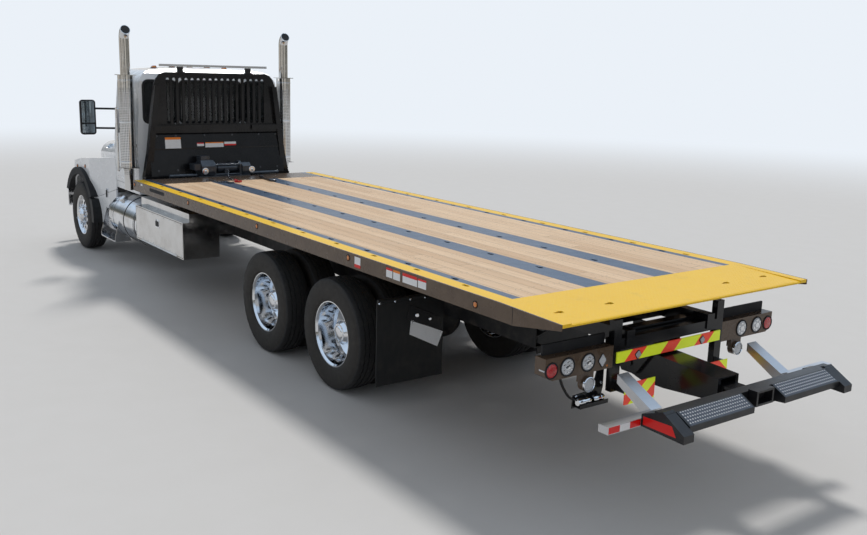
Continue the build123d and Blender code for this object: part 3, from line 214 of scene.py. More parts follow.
class Mat(Nodes):
    """A procedural material on the object's own coordinates, in metres."""

    def __init__(self, name, base=(0.8, 0.8, 0.8), **numbers):
        self.name = name
        self.made = bpy.data.materials.new(name)
        self.made.use_nodes = True
        super().__init__(self.made.node_tree, "Object")
        self.shader = self.tree.nodes["Principled BSDF"]
        self.set("Base Color", base)
        for key, number in numbers.items():
            self.set(INPUTS[key], number)
        self.made.diffuse_color = (*base[:3], 1)

    def set(self, name, value):
        self.feed(self.shader.inputs[name], value)

    def bump(self, height, distance, strength):
        node = self.add("ShaderNodeBump")
        for key, value in (("Strength", strength), ("Distance", distance), ("Height", height)):
            self.feed(node.inputs[key], value)
        self.set("Normal", node.outputs[0])

    def finish(self, colour, rough, height, distance, strength):
        """Feeds the colour, the roughness and the bump, and gives the material back."""
        self.set("Base Color", colour)
        self.set("Roughness", rough)
        self.bump(height, distance, strength)
        return self

    def dust(self, base, amount=0.25, colour=(0.36, 0.3, 0.24), scale=9.0):
        """Road dust: thin in patches, thicker low down."""
        low = 1 - self.z.step(0.2, 1.0)
        patch = self.noise(scale, 5, 0.6).step(0.42, 0.8)
        return self.blend((patch * (low * 0.8 + 0.2)) * amount, base, colour)

    def lozenges(self, size):
        """Raised lozenges that lean left and right in turn, as on checker plate."""
        u = (self.x + self.y) / size
        v = (self.x - self.y) / size
        odd = (u.cell(1) + v.cell(1)).mod(2)
        a = u.mod(1) - 0.5
        b = v.mod(1) - 0.5
        one = 1 - (a * a * 5 + b * b * 34).step(0.4, 1)
        other = 1 - (a * a * 34 + b * b * 5).step(0.4, 1)
        return one * odd + other * (1 - odd)

    def dots(self, along, across, pitch, radius):
        """1 in round spots on a square pitch in two of the coordinates."""
        a = along.mod(pitch) - pitch / 2
        b = across.mod(pitch) - pitch / 2
        return 1 - (a * a + b * b).do("SQRT").step(radius * 0.85, radius)


def gloss(name, dark, light, rough=0.2, metal=0.0, dirt=0.2, scale=3.0, coat=0.6, shine=0.5):
    """Sprayed paint: slow changes of tone, thin dust, orange peel and a clear coat."""
    m = Mat(name, rough=rough, metal=metal, coat=coat, haze=0.06, shine=shine)
    base = m.dust(m.blend(m.noise(scale, 3).step(0.3, 0.7), dark, light), dirt, scale=4)
    return m.finish(base, m.noise(7, 3) * 0.06 + rough + 0.04, m.noise(260, 2), 0.0001, 0.06)


def chassis_paint():
    m = Mat("chassis_paint", rough=0.5, shine=0.3)
    base = m.dust(m.blend(m.noise(5, 4), (0.008, 0.008, 0.009), (0.020, 0.020, 0.021)), 0.35)
    return m.finish(base, m.noise(12, 4) * 0.3 + 0.38, m.noise(120, 4), 0.0006, 0.4)


def deck_steel():
    m = Mat("deck_steel", rough=0.35, metal=0.3, coat=0.2, haze=0.12)
    lump = m.lozenges(0.030)
    worn = m.noise(7, 5).step(0.5, 0.75) * lump
    # The blue of the two base tones is painted reflection of the sky on the steel.
    base = m.blend(m.noise(2.5, 4), (0.022, 0.052, 0.105), (0.042, 0.085, 0.150))
    base = m.dust(m.blend(worn * 0.25, base, (0.22, 0.27, 0.34)), 0.25, scale=5)
    return m.finish(base, m.noise(9, 4) * 0.25 + 0.25, lump + m.noise(400, 2) * 0.08, 0.0014, 0.7)


def yellow_paint(tread):
    m = Mat("yellow_tread" if tread else "yellow_paint", rough=0.42, coat=0.08, haze=0.15,
            shine=0.25)
    height = m.lozenges(0.034) if tread else m.noise(300, 2)
    grime = m.noise(6, 6, 0.65).step(0.55, 0.8)
    base = m.blend(m.noise(1.7, 3), (0.90, 0.53, 0.008), (0.96, 0.60, 0.015))
    base = m.blend(grime * 0.25, base, (0.46, 0.29, 0.08))
    if tread:
        base = m.blend(height * 0.3, base, (0.98, 0.70, 0.06))
    return m.finish(base, m.noise(30, 3) * 0.22 + 0.3, height + m.noise(500, 2) * 0.1,
                    *((0.0016, 0.8) if tread else (0.0003, 0.4)))


def timber():
    """Planks along x: a tone for each board's length, streaked grain, pores, joints and nail heads."""
    m = Mat("timber", rough=0.62)
    plank = 0.1224
    board = (m.y + 2).cell(plank)
    shift = m.chance(board, 3.0) * 3.1
    along = (m.x + 8 + shift).cell(2.44)
    tone = m.chance(board, along)
    streak = m.noise(1, 5, 0.6, m.join(m.x * 2.2 + tone * 40, m.y * 60, m.z * 60), 0.6)
    fine = m.noise(1, 3, 0.6, m.join(m.x * 9, m.y * 420, m.z * 420))
    knot = 1 - m.cells(1, m.join(m.x * 1.7 + tone * 9, m.y * 11, tone * 5)).step(0.02, 0.09)
    base = m.blend(tone, (0.60, 0.395, 0.225), (0.78, 0.565, 0.36))
    base = m.blend(streak.step(0.35, 0.75) * 0.4, base, (0.46, 0.28, 0.145))
    base = m.blend(fine.step(0.52, 0.7) * 0.3, base, (0.35, 0.22, 0.125))
    base = m.blend(knot * 0.6, base, (0.2, 0.11, 0.055))
    butt = (m.x + 8 + shift).mod(2.44).hill(1.22, 1.2175, 0.0015)
    base = m.blend(butt, (0.06, 0.035, 0.02), base)
    gap = (m.y + 2).mod(plank).hill(plank / 2, plank / 2 - 0.0022, 0.0012)
    base = m.blend(gap, (0.10, 0.06, 0.035), base)
    across = (m.y + 2).mod(plank).mod(0.074) - 0.024
    ahead = (m.x + 8).mod(0.61) - 0.305
    nail = 1 - (across * across + ahead * ahead).do("SQRT").step(0.0042, 0.0056)
    base = m.blend(nail, base, (0.07, 0.07, 0.075))
    base = m.blend(m.noise(2.2, 4).step(0.5, 0.8) * 0.2, base, (0.50, 0.41, 0.31))
    return m.finish(base, streak * 0.25 + 0.48, streak * 0.5 + fine * 0.5 + butt + gap - nail * 0.6, 0.0008, 0.6)


def polished(name, tint=(0.76, 0.78, 0.81), rough=0.06, axle=None, shade=0.5):
    """Bright metal with a faint haze; round an axle it has the rings of the lathe."""
    m = Mat(name, base=tint, metal=1.0)
    base = m.dust(m.blend(m.noise(4, 4).step(0.40, 0.8) * shade, tint, (0.40, 0.375, 0.35)), 0.25)
    haze = m.noise(18, 5).step(0.3, 0.9) * 0.12 + rough
    height = m.noise(6, 2)
    if axle is not None:
        a, b = m.x - axle, m.z - 0.505
        height = height + ((a * a + b * b).do("SQRT") * 2600).do("SINE") * 0.05
    return m.finish(base, haze, height, 0.0012, 0.12)


def heat_shield():
    """Bright pipe in a shield pierced with rows of small holes, over the shield's height only."""
    m = polished("heat_shield", rough=0.07)
    around = (m.y.do("ABSOLUTE") - 1.14).do("ARCTAN2", m.x - 2.985) * 0.1 + 1
    hole = m.dots(around, m.z, 0.0215, 0.0058) * m.z.hill(1.9, 0.56, 0.01)
    pipe = m.blend(m.noise(4, 4), (0.76, 0.78, 0.81), (0.50, 0.47, 0.43))
    m.set("Base Color", m.blend(hole, pipe, (0.05, 0.05, 0.05)))
    m.bump(1 - hole, 0.0015, 0.6)
    return m


def brushed(name, along="x", rough=0.24, dark=(0.46, 0.47, 0.49), light=(0.64, 0.65, 0.67)):
    m = Mat(name, metal=1.0)
    stretch = {"x": (3, 260, 260), "y": (260, 3, 260), "z": (260, 260, 3)}[along]
    lines = m.noise(1, 3, 0.6, m.join(m.x * stretch[0], m.y * stretch[1], m.z * stretch[2]))
    return m.finish(m.dust(m.blend(lines, dark, light), 0.3), lines * 0.16 + rough, lines, 0.0002, 0.5)


def bar_metal():
    """A bright bar on black feet, parted by height."""
    m = brushed("bar_metal", "y", 0.16)
    foot = 1 - m.z.step(2.750, 2.754)
    bar = m.blend(m.noise(6, 3), (0.56, 0.57, 0.59), (0.70, 0.71, 0.73))
    m.set("Base Color", m.blend(foot, bar, (0.02, 0.02, 0.022)))
    m.set("Metallic", 1 - foot * 0.8)
    return m


def tyre_rubber():
    """Black rubber with sipes across the ribs and fine rings on the walls, from (arc, across, radius)."""
    m = Mat("tyre_rubber", rough=0.75, shine=0.35)
    node = m.add("ShaderNodeAttribute", attribute_name="round")
    arc, across, radius = m.split(node.outputs["Vector"])
    crown = radius.step(0.486, 0.490)
    slant = (across.do("ABSOLUTE") * 60).do("SINE") * 0.004
    sipe = (arc + slant).mod(0.022).hill(0.011, 0.0098, 0.0006)
    rings = (radius * 1400).do("SINE") * radius.hill(0.455, 0.012, 0.004)
    base = m.blend(radius.step(0.470, 0.486), (0.030, 0.026, 0.022), (0.020, 0.020, 0.021))
    base = m.blend(m.noise(5, 5, 0.6) * 0.5, base, (0.036, 0.034, 0.032))
    worn = m.blend(m.noise(14, 5).step(0.45, 0.85) * 0.2, base, (0.11, 0.095, 0.08))
    # The narrow cuts across the crown, where sipe falls to 0, are painted near-black: painted shade in the recesses.
    base = m.blend((1 - sipe) * crown * 0.8, worn, (0.006, 0.006, 0.006))
    return m.finish(base, m.noise(30, 3) * 0.25 + 0.6, sipe * crown + rings * 0.25 + m.noise(350, 3) * 0.2,
                    0.0022, 0.7)


def moulded(name, dark=(0.012, 0.012, 0.013), light=(0.022, 0.022, 0.024), rough=0.55, dirt=0.15):
    m = Mat(name, rough=rough, shine=0.3)
    base = m.dust(m.blend(m.noise(8, 3), dark, light), dirt)
    return m.finish(base, m.noise(60, 3) * 0.2 + rough - 0.1, m.cells(900), 0.0003, 0.5)


def flap_rubber():
    """A sheet that has hung and flexed: slow waves, road film and fine streaks."""
    m = Mat("flap_rubber", rough=0.6, shine=0.3)
    film = m.noise(1, 5, 0.6, m.join(m.x * 4, m.y * 26, m.z * 5))
    base = m.dust(m.blend(film.step(0.3, 0.8), (0.010, 0.011, 0.012), (0.018, 0.018, 0.018)), 0.04)
    return m.finish(base, film * 0.3 + 0.4, m.noise(5, 2) * 6 + film * 0.3, 0.003, 0.5)


def tinted_glass():
    m = Mat("tinted_glass", base=(0.016, 0.020, 0.021), rough=0.03, coat=0.3)
    m.set("Roughness", m.noise(12, 3) * 0.04 + 0.02)
    m.set("Alpha", m.noise(2, 2) * 0.1 + 0.66)
    return m


def lens(name, colour, pitch=0.007):
    """A moulded lens with a grid of small prisms behind its smooth face."""
    m = Mat(name, base=colour, rough=0.12, coat=0.9, haze=0.03)
    ribs = (m.y * (6.2832 / pitch)).do("SINE") * (m.z * (6.2832 / pitch)).do("SINE") + (m.x * 900).do("SINE") * 0.2
    base = m.blend(ribs.step(-0.6, 0.8), tuple(c * 0.5 for c in colour), colour)
    return m.finish(base, m.noise(90, 2) * 0.1 + 0.06, ribs + m.cells(120), 0.0015, 0.4)


def seat_cloth():
    m = Mat("seat_cloth", rough=0.9, sheen=0.3)
    weave = (m.y * 900).do("SINE") * ((m.z + m.x) * 900).do("SINE")
    base = m.blend(m.noise(20, 3), (0.03, 0.03, 0.033), (0.065, 0.065, 0.07))
    return m.finish(base, weave * 0.04 + 0.88, weave + m.noise(60, 3), 0.001, 0.5)


def chevrons():
    """Slanted yellow-green and red stripes for the rear boards."""
    m = Mat("chevrons", rough=0.35, coat=0.1, haze=0.1, shine=0.3, glow=0.16)
    panel = (m.y + 0.553).mod(0.3687) - 0.184
    slant = panel + (m.z - 0.93) * 1.0
    red = slant.hill(0.0, 0.072, 0.0015)
    low = 1 - m.z.step(0.84, 0.85)
    outward = m.y.do("ABSOLUTE")
    square = ((outward + m.z * 1.2).mod(0.24)).hill(0.12, 0.06, 0.002)
    share = red * (1 - low) + square * low
    beads = m.cells(420)
    stripes = m.blend(share, (0.80, 0.95, 0.010), (0.92, 0.030, 0.012))
    # The stripes glow in their own colours, at the Emission Strength set on the material: painted light, as the boards
    # are no lamps.
    m.set("Emission Color", stripes)
    base = m.blend(beads * 0.15, stripes, (0.9, 0.9, 0.6))
    return m.finish(base, m.noise(40, 2) * 0.15 + 0.28, beads, 0.0003, 0.4)


def sheet_print(name, colour, rough=0.4, beads=500):
    """A stuck-on sheet: even colour with faint scuffs and the grain of its beads."""
    m = Mat(name, base=colour, rough=rough, coat=0.1, haze=0.1, shine=0.3)
    base = m.blend(m.noise(30, 4).step(0.5, 0.85) * 0.25, colour, tuple(c * 0.6 for c in colour))
    return m.finish(base, m.noise(60, 3) * 0.15 + rough - 0.07, m.cells(beads), 0.0002, 0.4)


def step_plate():
    """Black cast steps with rows of raised buttons, some pierced."""
    m = Mat("step_plate", rough=0.35, coat=0.15, haze=0.1, shine=0.3)
    slope = (m.x + 5.97).hill(-0.055, 0.048, 0.003) * m.y.do("ABSOLUTE").hill(0.48, 0.30, 0.004)
    top = m.z.step(0.762, 0.766)
    spot = m.dots(m.x * 1.14 + 8, m.y + 2, 0.023, 0.0062) * slope * top
    base = m.dust(m.blend(m.noise(3, 3), (0.006, 0.006, 0.008), (0.012, 0.013, 0.015)), 0.15)
    base = m.blend(spot, m.blend(slope * top * 0.7, base, (0.075, 0.092, 0.125)), (0.55, 0.56, 0.58))
    return m.finish(base, m.noise(30, 3) * 0.2 + 0.25, spot + m.noise(240, 3) * 0.1, 0.003, 0.9)


def rope_wire():
    """Steel wires laid round the rope in a steep helix, seen as slanted ridges."""
    m = Mat("rope_wire", metal=1.0)
    ridge = ((m.x * 0.8 + m.z + m.y) * 1500).do("SINE")
    # The valleys between the wires are painted dark and the crowns light: painted shade in the valleys.
    base = m.blend(ridge.step(-0.8, 0.6), (0.10, 0.10, 0.11), (0.50, 0.51, 0.53))
    return m.finish(base, m.noise(90, 3) * 0.2 + 0.3, ridge, 0.0012, 0.8)


PALE = (0.83, 0.88, 0.94)


def floor_paper():
    """Pale ground: it keeps the shadow, and turns white where the view goes far out."""
    m = Mat("floor_paper", base=(0.66, 0.65, 0.64), rough=0.9, shine=0.2)
    paper = m.blend(m.noise(3, 3), (0.65, 0.64, 0.625), (0.68, 0.67, 0.66))
    m.finish(paper, m.noise(9, 2) * 0.1 + 0.85, m.noise(60, 3), 0.002, 0.15)
    far = (m.x * m.x + m.y * m.y).do("SQRT").step(14, 34)
    seen = m.ray("Camera").most(m.ray("Transmission"))
    ground = m.over(far * seen, m.shader.outputs[0], m.light("Emission", PALE))
    m.feed(m.tree.nodes["Material Output"].inputs[0], ground)
    return m


MATS = {m.name: m.made for m in (
    gloss("cab_paint", (0.80, 0.82, 0.84), (0.84, 0.85, 0.87), 0.2, 0.0, 0.08, 0.9),
    gloss("bronze_paint", (0.095, 0.062, 0.040), (0.120, 0.081, 0.053), 0.2, 0.0, 0.12, 9, 0.12, 0.3),
    gloss("black_steel", (0.006, 0.006, 0.007), (0.012, 0.012, 0.014), 0.14, 0.0, 0.10, 3, 0.1, 0.3),
    chassis_paint(), deck_steel(), yellow_paint(False), yellow_paint(True), timber(),
    polished("bright_metal"), polished("aluminium", (0.70, 0.70, 0.70), 0.10),
    polished("front_disc", axle=FRONT_AXLE), polished("mid_disc", axle=MID_AXLE),
    polished("rear_disc", axle=REAR_AXLE), brushed("brushed"), brushed("arm_metal", "y"), tyre_rubber(),
    moulded("rubber", rough=0.7), flap_rubber(), moulded("black_plastic"), tinted_glass(),
    polished("mirror_glass", (0.42, 0.50, 0.55), 0.02, shade=0.3), lens("lens_amber", (0.90, 0.26, 0.015)),
    lens("lens_red", (0.72, 0.012, 0.016)), lens("lens_clear", (0.80, 0.83, 0.87)), seat_cloth(), chevrons(),
    gloss("hook_paint", (0.50, 0.012, 0.012), (0.62, 0.020, 0.018), 0.25, 0.0, 0.3, 30),
    gloss("chain_black", (0.015, 0.015, 0.018), (0.05, 0.05, 0.055), 0.3, 0.3, 0.2, 40),
    gloss("winch_paint", (0.030, 0.037, 0.048), (0.060, 0.072, 0.090), 0.22, 0.3, 0.1, 20, 0.4),
    heat_shield(), bar_metal(), rope_wire(), step_plate(),
    sheet_print("label_white", (0.80, 0.81, 0.82)), sheet_print("label_red", (0.74, 0.016, 0.012)),
    sheet_print("label_orange", (0.85, 0.23, 0.02)), sheet_print("tape_red", (0.74, 0.010, 0.008), 0.3, 300),
    sheet_print("tape_white", (0.78, 0.79, 0.80), 0.3, 300))}
LOOKS = {"deck_channels": "deck_steel", "tail_plate": "yellow_tread", "light_bar": "bar_metal",
         "tail_lamps": "lens_clear", "mud_flaps": "flap_rubber", "crossbar": "step_plate", "l_arms": "arm_metal",
         "lamp_boxes": "bronze_paint", "winch": "winch_paint", "exhaust_stacks": "heat_shield",
         "chassis_black": "chassis_paint", "glass": "tinted_glass", "tyre": "tyre_rubber", "board_paint": "chevrons",
         "rope": "rope_wire"}


def node_material(node, slot):
    """A node's own look, or else its slot's; the discs have one look for each axle."""
    name = node.split("_")[1] + "_disc" if node.startswith("wheel") else LOOKS.get(node, LOOKS.get(slot, slot))
    return MATS[name]


slots = {s["node"]: s["material_slot"] for s in frame["record"]["subparts"]}
for node, piece in frame["nodes"].items():
    piece.data.materials.clear()
    piece.data.materials.append(node_material(node, slots[node]))

# Shapes


PLANES = (((0, 1, 0), (0, 0, 1)), ((1, 0, 0), (0, 0, 1)), ((1, 0, 0), (0, 1, 0)))


class Shape:
    """Points and faces of one piece, in metres in the part's frame."""

    def __init__(self):
        self.points = []
        self.faces = []
        self.slots = []
        self.count = 0

    def mesh(self, points, faces, slot=0):
        self.points.append(np.asarray(points, float).reshape(-1, 3))
        self.faces += [[i + self.count for i in face] for face in faces]
        self.slots += [slot] * len(faces)
        self.count += len(self.points[-1])

    def grid(self, rows, slot=0, around=True, ring=False, ends=False):
        """Faces over rows of points: each row closes on itself, the rows too when they form a ring."""
        rows = np.asarray(rows, float)
        n, m = rows.shape[:2]
        faces = []
        for i in range(n if ring else n - 1):
            for j in range(m if around else m - 1):
                k, l = (i + 1) % n, (j + 1) % m
                faces.append((i * m + j, i * m + l, k * m + l, k * m + j))
        if ends:
            faces += [list(range(m))[::-1], [(n - 1) * m + j for j in range(m)]]
        self.mesh(rows, faces, slot)

    def box(self, xs, ys, zs, slot=0):
        corners = [(x, y, z) for x in xs for y in ys for z in zs]
        self.mesh(corners, [(0, 1, 3, 2), (4, 6, 7, 5), (0, 4, 5, 1), (2, 3, 7, 6), (0, 2, 6, 4), (1, 5, 7, 3)],
                  slot)

    def turned(self, profile, centre, axis, slot=0, sides=40, turn=0.0):
        """Point(t) = centre + along * axis + radius * (cos t * u + sin t * v) for each (along, radius)."""
        axis = np.asarray(Vector(axis).normalized())
        u = np.cross(axis, (0, 0, 1) if abs(axis[2]) < 0.9 else (1, 0, 0))
        u = u / np.linalg.norm(u)
        ring = circle(sides, u, np.cross(axis, u), turn)
        self.grid([np.asarray(centre) + along * axis + radius * ring for along, radius in profile], slot, ends=True)

    def tube(self, points, radius, slot=0, sides=12, smooth=4):
        """A round bar along a Catmull-Rom line: p(s) through all points, with ends closed."""
        p = np.asarray(points, float)
        if smooth > 1 and len(p) > 2:
            q = np.vstack([2 * p[0] - p[1], p, 2 * p[-1] - p[-2]])
            line = []
            for a, b, c, d in zip(q, q[1:], q[2:], q[3:]):
                for s in np.arange(smooth) / smooth:
                    line.append(0.5 * (2 * b + (c - a) * s + (2 * a - 5 * b + 4 * c - d) * s ** 2
                                       + (3 * b - a - 3 * c + d) * s ** 3))
            p = np.array(line + [p[-1]])
        way = np.gradient(p, axis=0)
        way /= np.linalg.norm(way, axis=1)[:, None]
        u = np.cross(way[0], (0.3, 0.2, 0.93))
        rows = []
        for at, along in zip(p, way):
            u = u - np.dot(u, along) * along
            u = u / np.linalg.norm(u)
            rows.append(at + radius * circle(sides, u, np.cross(along, u)))
        self.grid(rows, slot, ends=True)

    def prism(self, outline, axis, low, high, slot=0):
        """An outline in the two axes other than the named one, drawn out from low to high."""
        def place(p, level):
            return {"x": (level, *p), "y": (p[0], level, p[1]), "z": (*p, level)}[axis]
        self.grid([[place(p, low) for p in outline], [place(p, high) for p in outline]], slot, ends=True)

    def plate(self, corners, out, thick=0.0012, slot=0):
        """A thin sheet over its corners, from just inside the surface to its thickness outside."""
        corners = np.asarray(corners, float)
        out = np.asarray(Vector(out).normalized())
        self.grid([corners - out * 0.002, corners + out * thick], slot, ends=True)

    def loops(self, centre, out, halves, radius, steps, slot, axes, least, **ends):
        """Round-cornered loops in the plane that out faces, one for each (inset, rise along out)."""
        centre, out = (np.asarray(Vector(p), float) for p in (centre, out))
        u, v = (np.asarray(Vector(p), float) for p in axes or PLANES[np.argmax(np.abs(out))])
        rows = []
        for inset, rise in steps:
            loop = rounded(halves[0] - inset, halves[1] - inset, max(radius - inset, least))
            rows.append(centre + loop[:, :1] * u + loop[:, 1:] * v + rise * out)
        self.grid(rows, slot, **ends)

    def moulding(self, centre, out, half_a, half_b, radius, width, height, slot=0, sunk=0.004, axes=None):
        """A moulding round an opening: outer foot, two top edges and inner foot, joined by loops."""
        steps = ((0, -sunk), (0, height * 0.6), (width * 0.3, height), (width * 0.75, height),
                 (width, height * 0.4), (width, -sunk))
        self.loops(centre, out, (half_a, half_b), radius, steps, slot, axes, 0.004, ring=True)

    def pad(self, centre, out, half_a, half_b, radius, height, slot=0, sunk=0.004, axes=None):
        """A low boss with round corners and softened top edge."""
        steps = ((0, -sunk), (0, height * 0.7), (height * 0.4, height))
        self.loops(centre, out, (half_a, half_b), radius, steps, slot, axes, 0.002, ends=True)

    def domed(self, base, rise, radius, height, centre, axis, slot=0, sides=40, steps=5):
        """A turned form that ends in a dome from the rise on."""
        self.turned(base + [(rise + h, r) for h, r in dome(radius, height, steps)], centre, axis, slot, sides)

    def done(self, name, body, materials, replaces=(), bevel=0.0, angle=34):
        data = bpy.data.meshes.new(name)
        data.from_pydata(np.vstack(self.points).tolist(), [], self.faces)
        data.update()
        made = put(name, data)
        for material in materials:
            data.materials.append(MATS[material])
        data.polygons.foreach_set("material_index", self.slots)
        tidy = bmesh.new()
        tidy.from_mesh(data)
        bmesh.ops.recalc_face_normals(tidy, faces=tidy.faces)
        tidy.to_mesh(data)
        tidy.free()
        data.polygons.foreach_set("use_smooth", [True] * len(data.polygons))
        data.set_sharp_from_angle(angle=math.radians(angle))
        if bevel:
            edge = made.modifiers.new("edge", "BEVEL")
            edge.width = bevel
            edge.segments = 2
            edge.limit_method = "ANGLE"
            edge.angle_limit = math.radians(angle)
        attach(made, body)
        if replaces:
            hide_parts(*replaces)
        return made


def circle(sides, u, v, turn=0.0):
    """Points round a circle: cos t * u + sin t * v."""
    t = np.linspace(0, 2 * np.pi, sides, endpoint=False)[:, None] + turn
    return np.cos(t) * u + np.sin(t) * v


def dome(radius, height, steps=5):
    """Half an ellipse from its rim to its top: (height * sin t, radius * cos t)."""
    t = np.linspace(0, np.pi / 2, steps)
    return [(height * math.sin(a), max(radius * math.cos(a), 0.0004)) for a in t]


trees = {}


def hit(node, start, way):
    """Where a line from a point first meets a node, and the surface's outward direction there."""
    if node not in trees:
        data = frame["nodes"][node].data
        trees[node] = BVHTree.FromPolygons([v.co for v in data.vertices], [p.vertices for p in data.polygons])
    spot, normal = trees[node].ray_cast(Vector(start), Vector(way).normalized())[:2]
    if spot is None:
        raise ValueError(f"no surface of {node} from {start}")
    return spot, (-normal if normal.dot(Vector(way)) > 0 else normal)


def from_front(node, y, z):
    return hit(node, (7, y, z), BACK)


def from_side(node, x, side, z):
    return hit(node, (x, side * 1.6, z), (0, -side, 0))


def rounded(half_a, half_b, radius, steps=6):
    """A rectangle with round corners: corner centres plus radius * (cos t, sin t)."""
    loop = []
    for k, (sa, sb) in enumerate(((1, 1), (-1, 1), (-1, -1), (1, -1))):
        for t in np.linspace(0, np.pi / 2, steps):
            angle = t + k * np.pi / 2
            loop.append((sa * (half_a - radius) + radius * math.cos(angle),
                         sb * (half_b - radius) + radius * math.sin(angle)))
    return np.array(loop)


def bead(shape, spots, outs, radius, slot=0, sides=8):
    """A round bead along a closed line of spots, each with its surface's outward direction."""
    spots = np.array([tuple(p) for p in spots])
    rows = []
    for k, (at, out) in enumerate(zip(spots, outs)):
        way = spots[(k + 1) % len(spots)] - spots[k - 1]
        way /= np.linalg.norm(way)
        out = np.asarray(out, float)
        out = out - np.dot(out, way) * way
        out /= np.linalg.norm(out)
        rows.append(at + radius * circle(sides, out, np.cross(way, out)))
    shape.grid(rows, slot, ring=True)


# Winch rope

rope_points = [(2.388, 0.010, 1.410), (2.330, 0.010, 1.410), (2.240, 0.060, 1.352), (2.130, 0.096, 1.337),
               (2.020, 0.128, 1.337), (1.925, 0.138, 1.337), (1.838, 0.150, 1.337)]
rope_line = bpy.data.curves.new("winch_line", "CURVE")
rope_line.dimensions = "3D"
rope_line.bevel_depth = 0.006
rope_line.bevel_resolution = 5
rope_line.resolution_u = 16
spline = rope_line.splines.new("NURBS")
spline.points.add(len(rope_points) - 1)
for knot, spot in zip(spline.points, rope_points):
    knot.co = (*spot, 1)
spline.order_u = 3
spline.use_endpoint_u = True
rope = put("winch_line", rope_line)
rope_line.materials.append(MATS["rope_wire"])
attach(rope, "bed")
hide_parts("winch_rope")

# Tyres and wheels

TYRE_R, TREAD_HALF, WALL_HALF, AXLE_Z = 0.5045, 0.112, 0.139, 0.505
GROOVES, ZIGZAG = (-0.070, -0.028, 0.028, 0.070), 0.0035
BOLT_CIRCLE, HUB_CIRCLE = 0.1429, 0.0755
DUAL_MID, DUAL_STEP, FRONT_Y = 0.911, 0.337, 1.0965


def tyre_section():
    """(across, radius, zigzag) round the section: crown r = R - 0.008 * |a / half|^2.5, then the walls."""
    def crown(s):
        return TYRE_R - 0.008 * abs(s / TREAD_HALF) ** 2.5
    spots = set(np.linspace(-TREAD_HALF, TREAD_HALF, 9).round(4))
    for g in GROOVES:
        spots = {s for s in spots if abs(s - g) > 0.009}
    rows = [(s, crown(s), 0) for s in spots]
    for g in GROOVES:
        for off, deep in ((-0.0062, 0), (-0.0045, 0.012), (0.0045, 0.012), (0.0062, 0)):
            rows.append((g + off, crown(g + off) - deep, ZIGZAG))
    rows.sort()
    wall = [(0.119, 0.4925), (0.1245, 0.484), (0.1285, 0.470), (0.1300, 0.462), (0.1325, 0.458), (0.1362, 0.435),
            (0.1385, 0.408), (WALL_HALF, 0.385), (0.1378, 0.360), (0.1340, 0.335), (0.1290, 0.3135),
            (0.1255, 0.3105), (0.1215, 0.3045), (0.1175, 0.2965), (0.1130, 0.2925), (0.1000, 0.2925)]
    return rows + [(a, r, 0) for a, r in wall] + [(-a, r, 0) for a, r in wall[::-1]]


def tyre(shape, centre, turns=216):
    section = np.array(tyre_section())
    t = np.arange(turns) * 2 * np.pi / turns
    zig = np.abs((np.arange(turns) % 6) - 3) / 1.5 - 1
    a = section[:, 0][:, None] + section[:, 2][:, None] * zig[None, :]
    notch = ((np.arange(turns) % 6) < 2)[None, :] * np.isclose(np.abs(section[:, 0]), 0.1245)[:, None] * 0.004
    r = section[:, 1][:, None] - notch
    points = np.stack([centre[0] + r * np.cos(t), centre[1] + a, centre[2] + r * np.sin(t)], axis=-1)
    shape.grid(points, ring=True)
    arc = np.broadcast_to(t * TYRE_R, a.shape)
    return np.stack([arc, a, np.broadcast_to(r, a.shape)], axis=-1).reshape(-1, 3)


def wheel_set(word, side, x, tyres, face, hub_end, body):
    """Tyres, nuts with bright caps, a domed hub cap and a valve for one wheel or pair."""
    rubber = Shape()
    marks = [tyre(rubber, (x, side * y, AXLE_Z)) for y in tyres]
    node = ("tyre_" if len(tyres) == 1 else "tyres_") + word
    made = rubber.done("tread_" + word, body, ["tyre_rubber"], replaces=[node], angle=28)
    data = made.data.attributes.new("round", "FLOAT_VECTOR", "POINT")
    data.data.foreach_set("vector", np.vstack(marks).astype(np.float32).ravel())
    bright = Shape()
    out = (0, side, 0)

    def seat_on(circle, t, across):
        return x + circle * math.cos(t), side * across, AXLE_Z + circle * math.sin(t)

    for k in range(10):
        t = k * 2 * math.pi / 10 + 0.1
        seat = seat_on(BOLT_CIRCLE, t, face)
        bright.turned([(-0.004, 0.0225), (0.004, 0.0225), (0.007, 0.0195)], seat, out, 0, 24)
        bright.turned([(0.006, 0.0180), (0.028, 0.0180), (0.031, 0.0160)], seat, out, 0, 6, t)
        bright.domed([], 0.030, 0.0135, 0.012, seat, out, 0, 16)
    hub = (x, side * hub_end, AXLE_Z)
    bright.domed([(-0.075, 0.084), (-0.014, 0.084), (-0.006, 0.080), (-0.005, 0.070)], -0.005, 0.066,
                 0.019 if len(tyres) == 1 else 0.014, hub, out)
    for k in range(8):
        seat = seat_on(HUB_CIRCLE, k * math.pi / 4, hub_end - 0.004)
        bright.turned([(-0.006, 0.0065), (0.001, 0.0065), (0.002, 0.005)], seat, out, 0, 6)
    stem = (x + 0.185, side * (face + 0.004), AXLE_Z - 0.075)
    bright.turned([(-0.006, 0.008), (0.006, 0.008), (0.008, 0.0045), (0.034, 0.0045), (0.035, 0.0055),
                   (0.048, 0.0055), (0.049, 0.004)], stem, out, 0, 12)
    bright.done("nuts_" + word, body, [word.split("_")[0] + "_disc"], angle=40)


for hand, side in SIDES.items():
    wheel_set("front_" + hand, side, FRONT_AXLE, [FRONT_Y], FRONT_Y + 0.100, FRONT_Y + 0.156, "wheel_front_" + hand)
    for word, x in (("mid_", MID_AXLE), ("rear_", REAR_AXLE)):
        wheel_set(word + hand, side, x, [DUAL_MID - DUAL_STEP / 2, DUAL_MID + DUAL_STEP / 2],
                  DUAL_MID + 0.014, DUAL_MID + 0.216, f"wheels_{word}{hand}")

# Lamps, markers and boards at the back

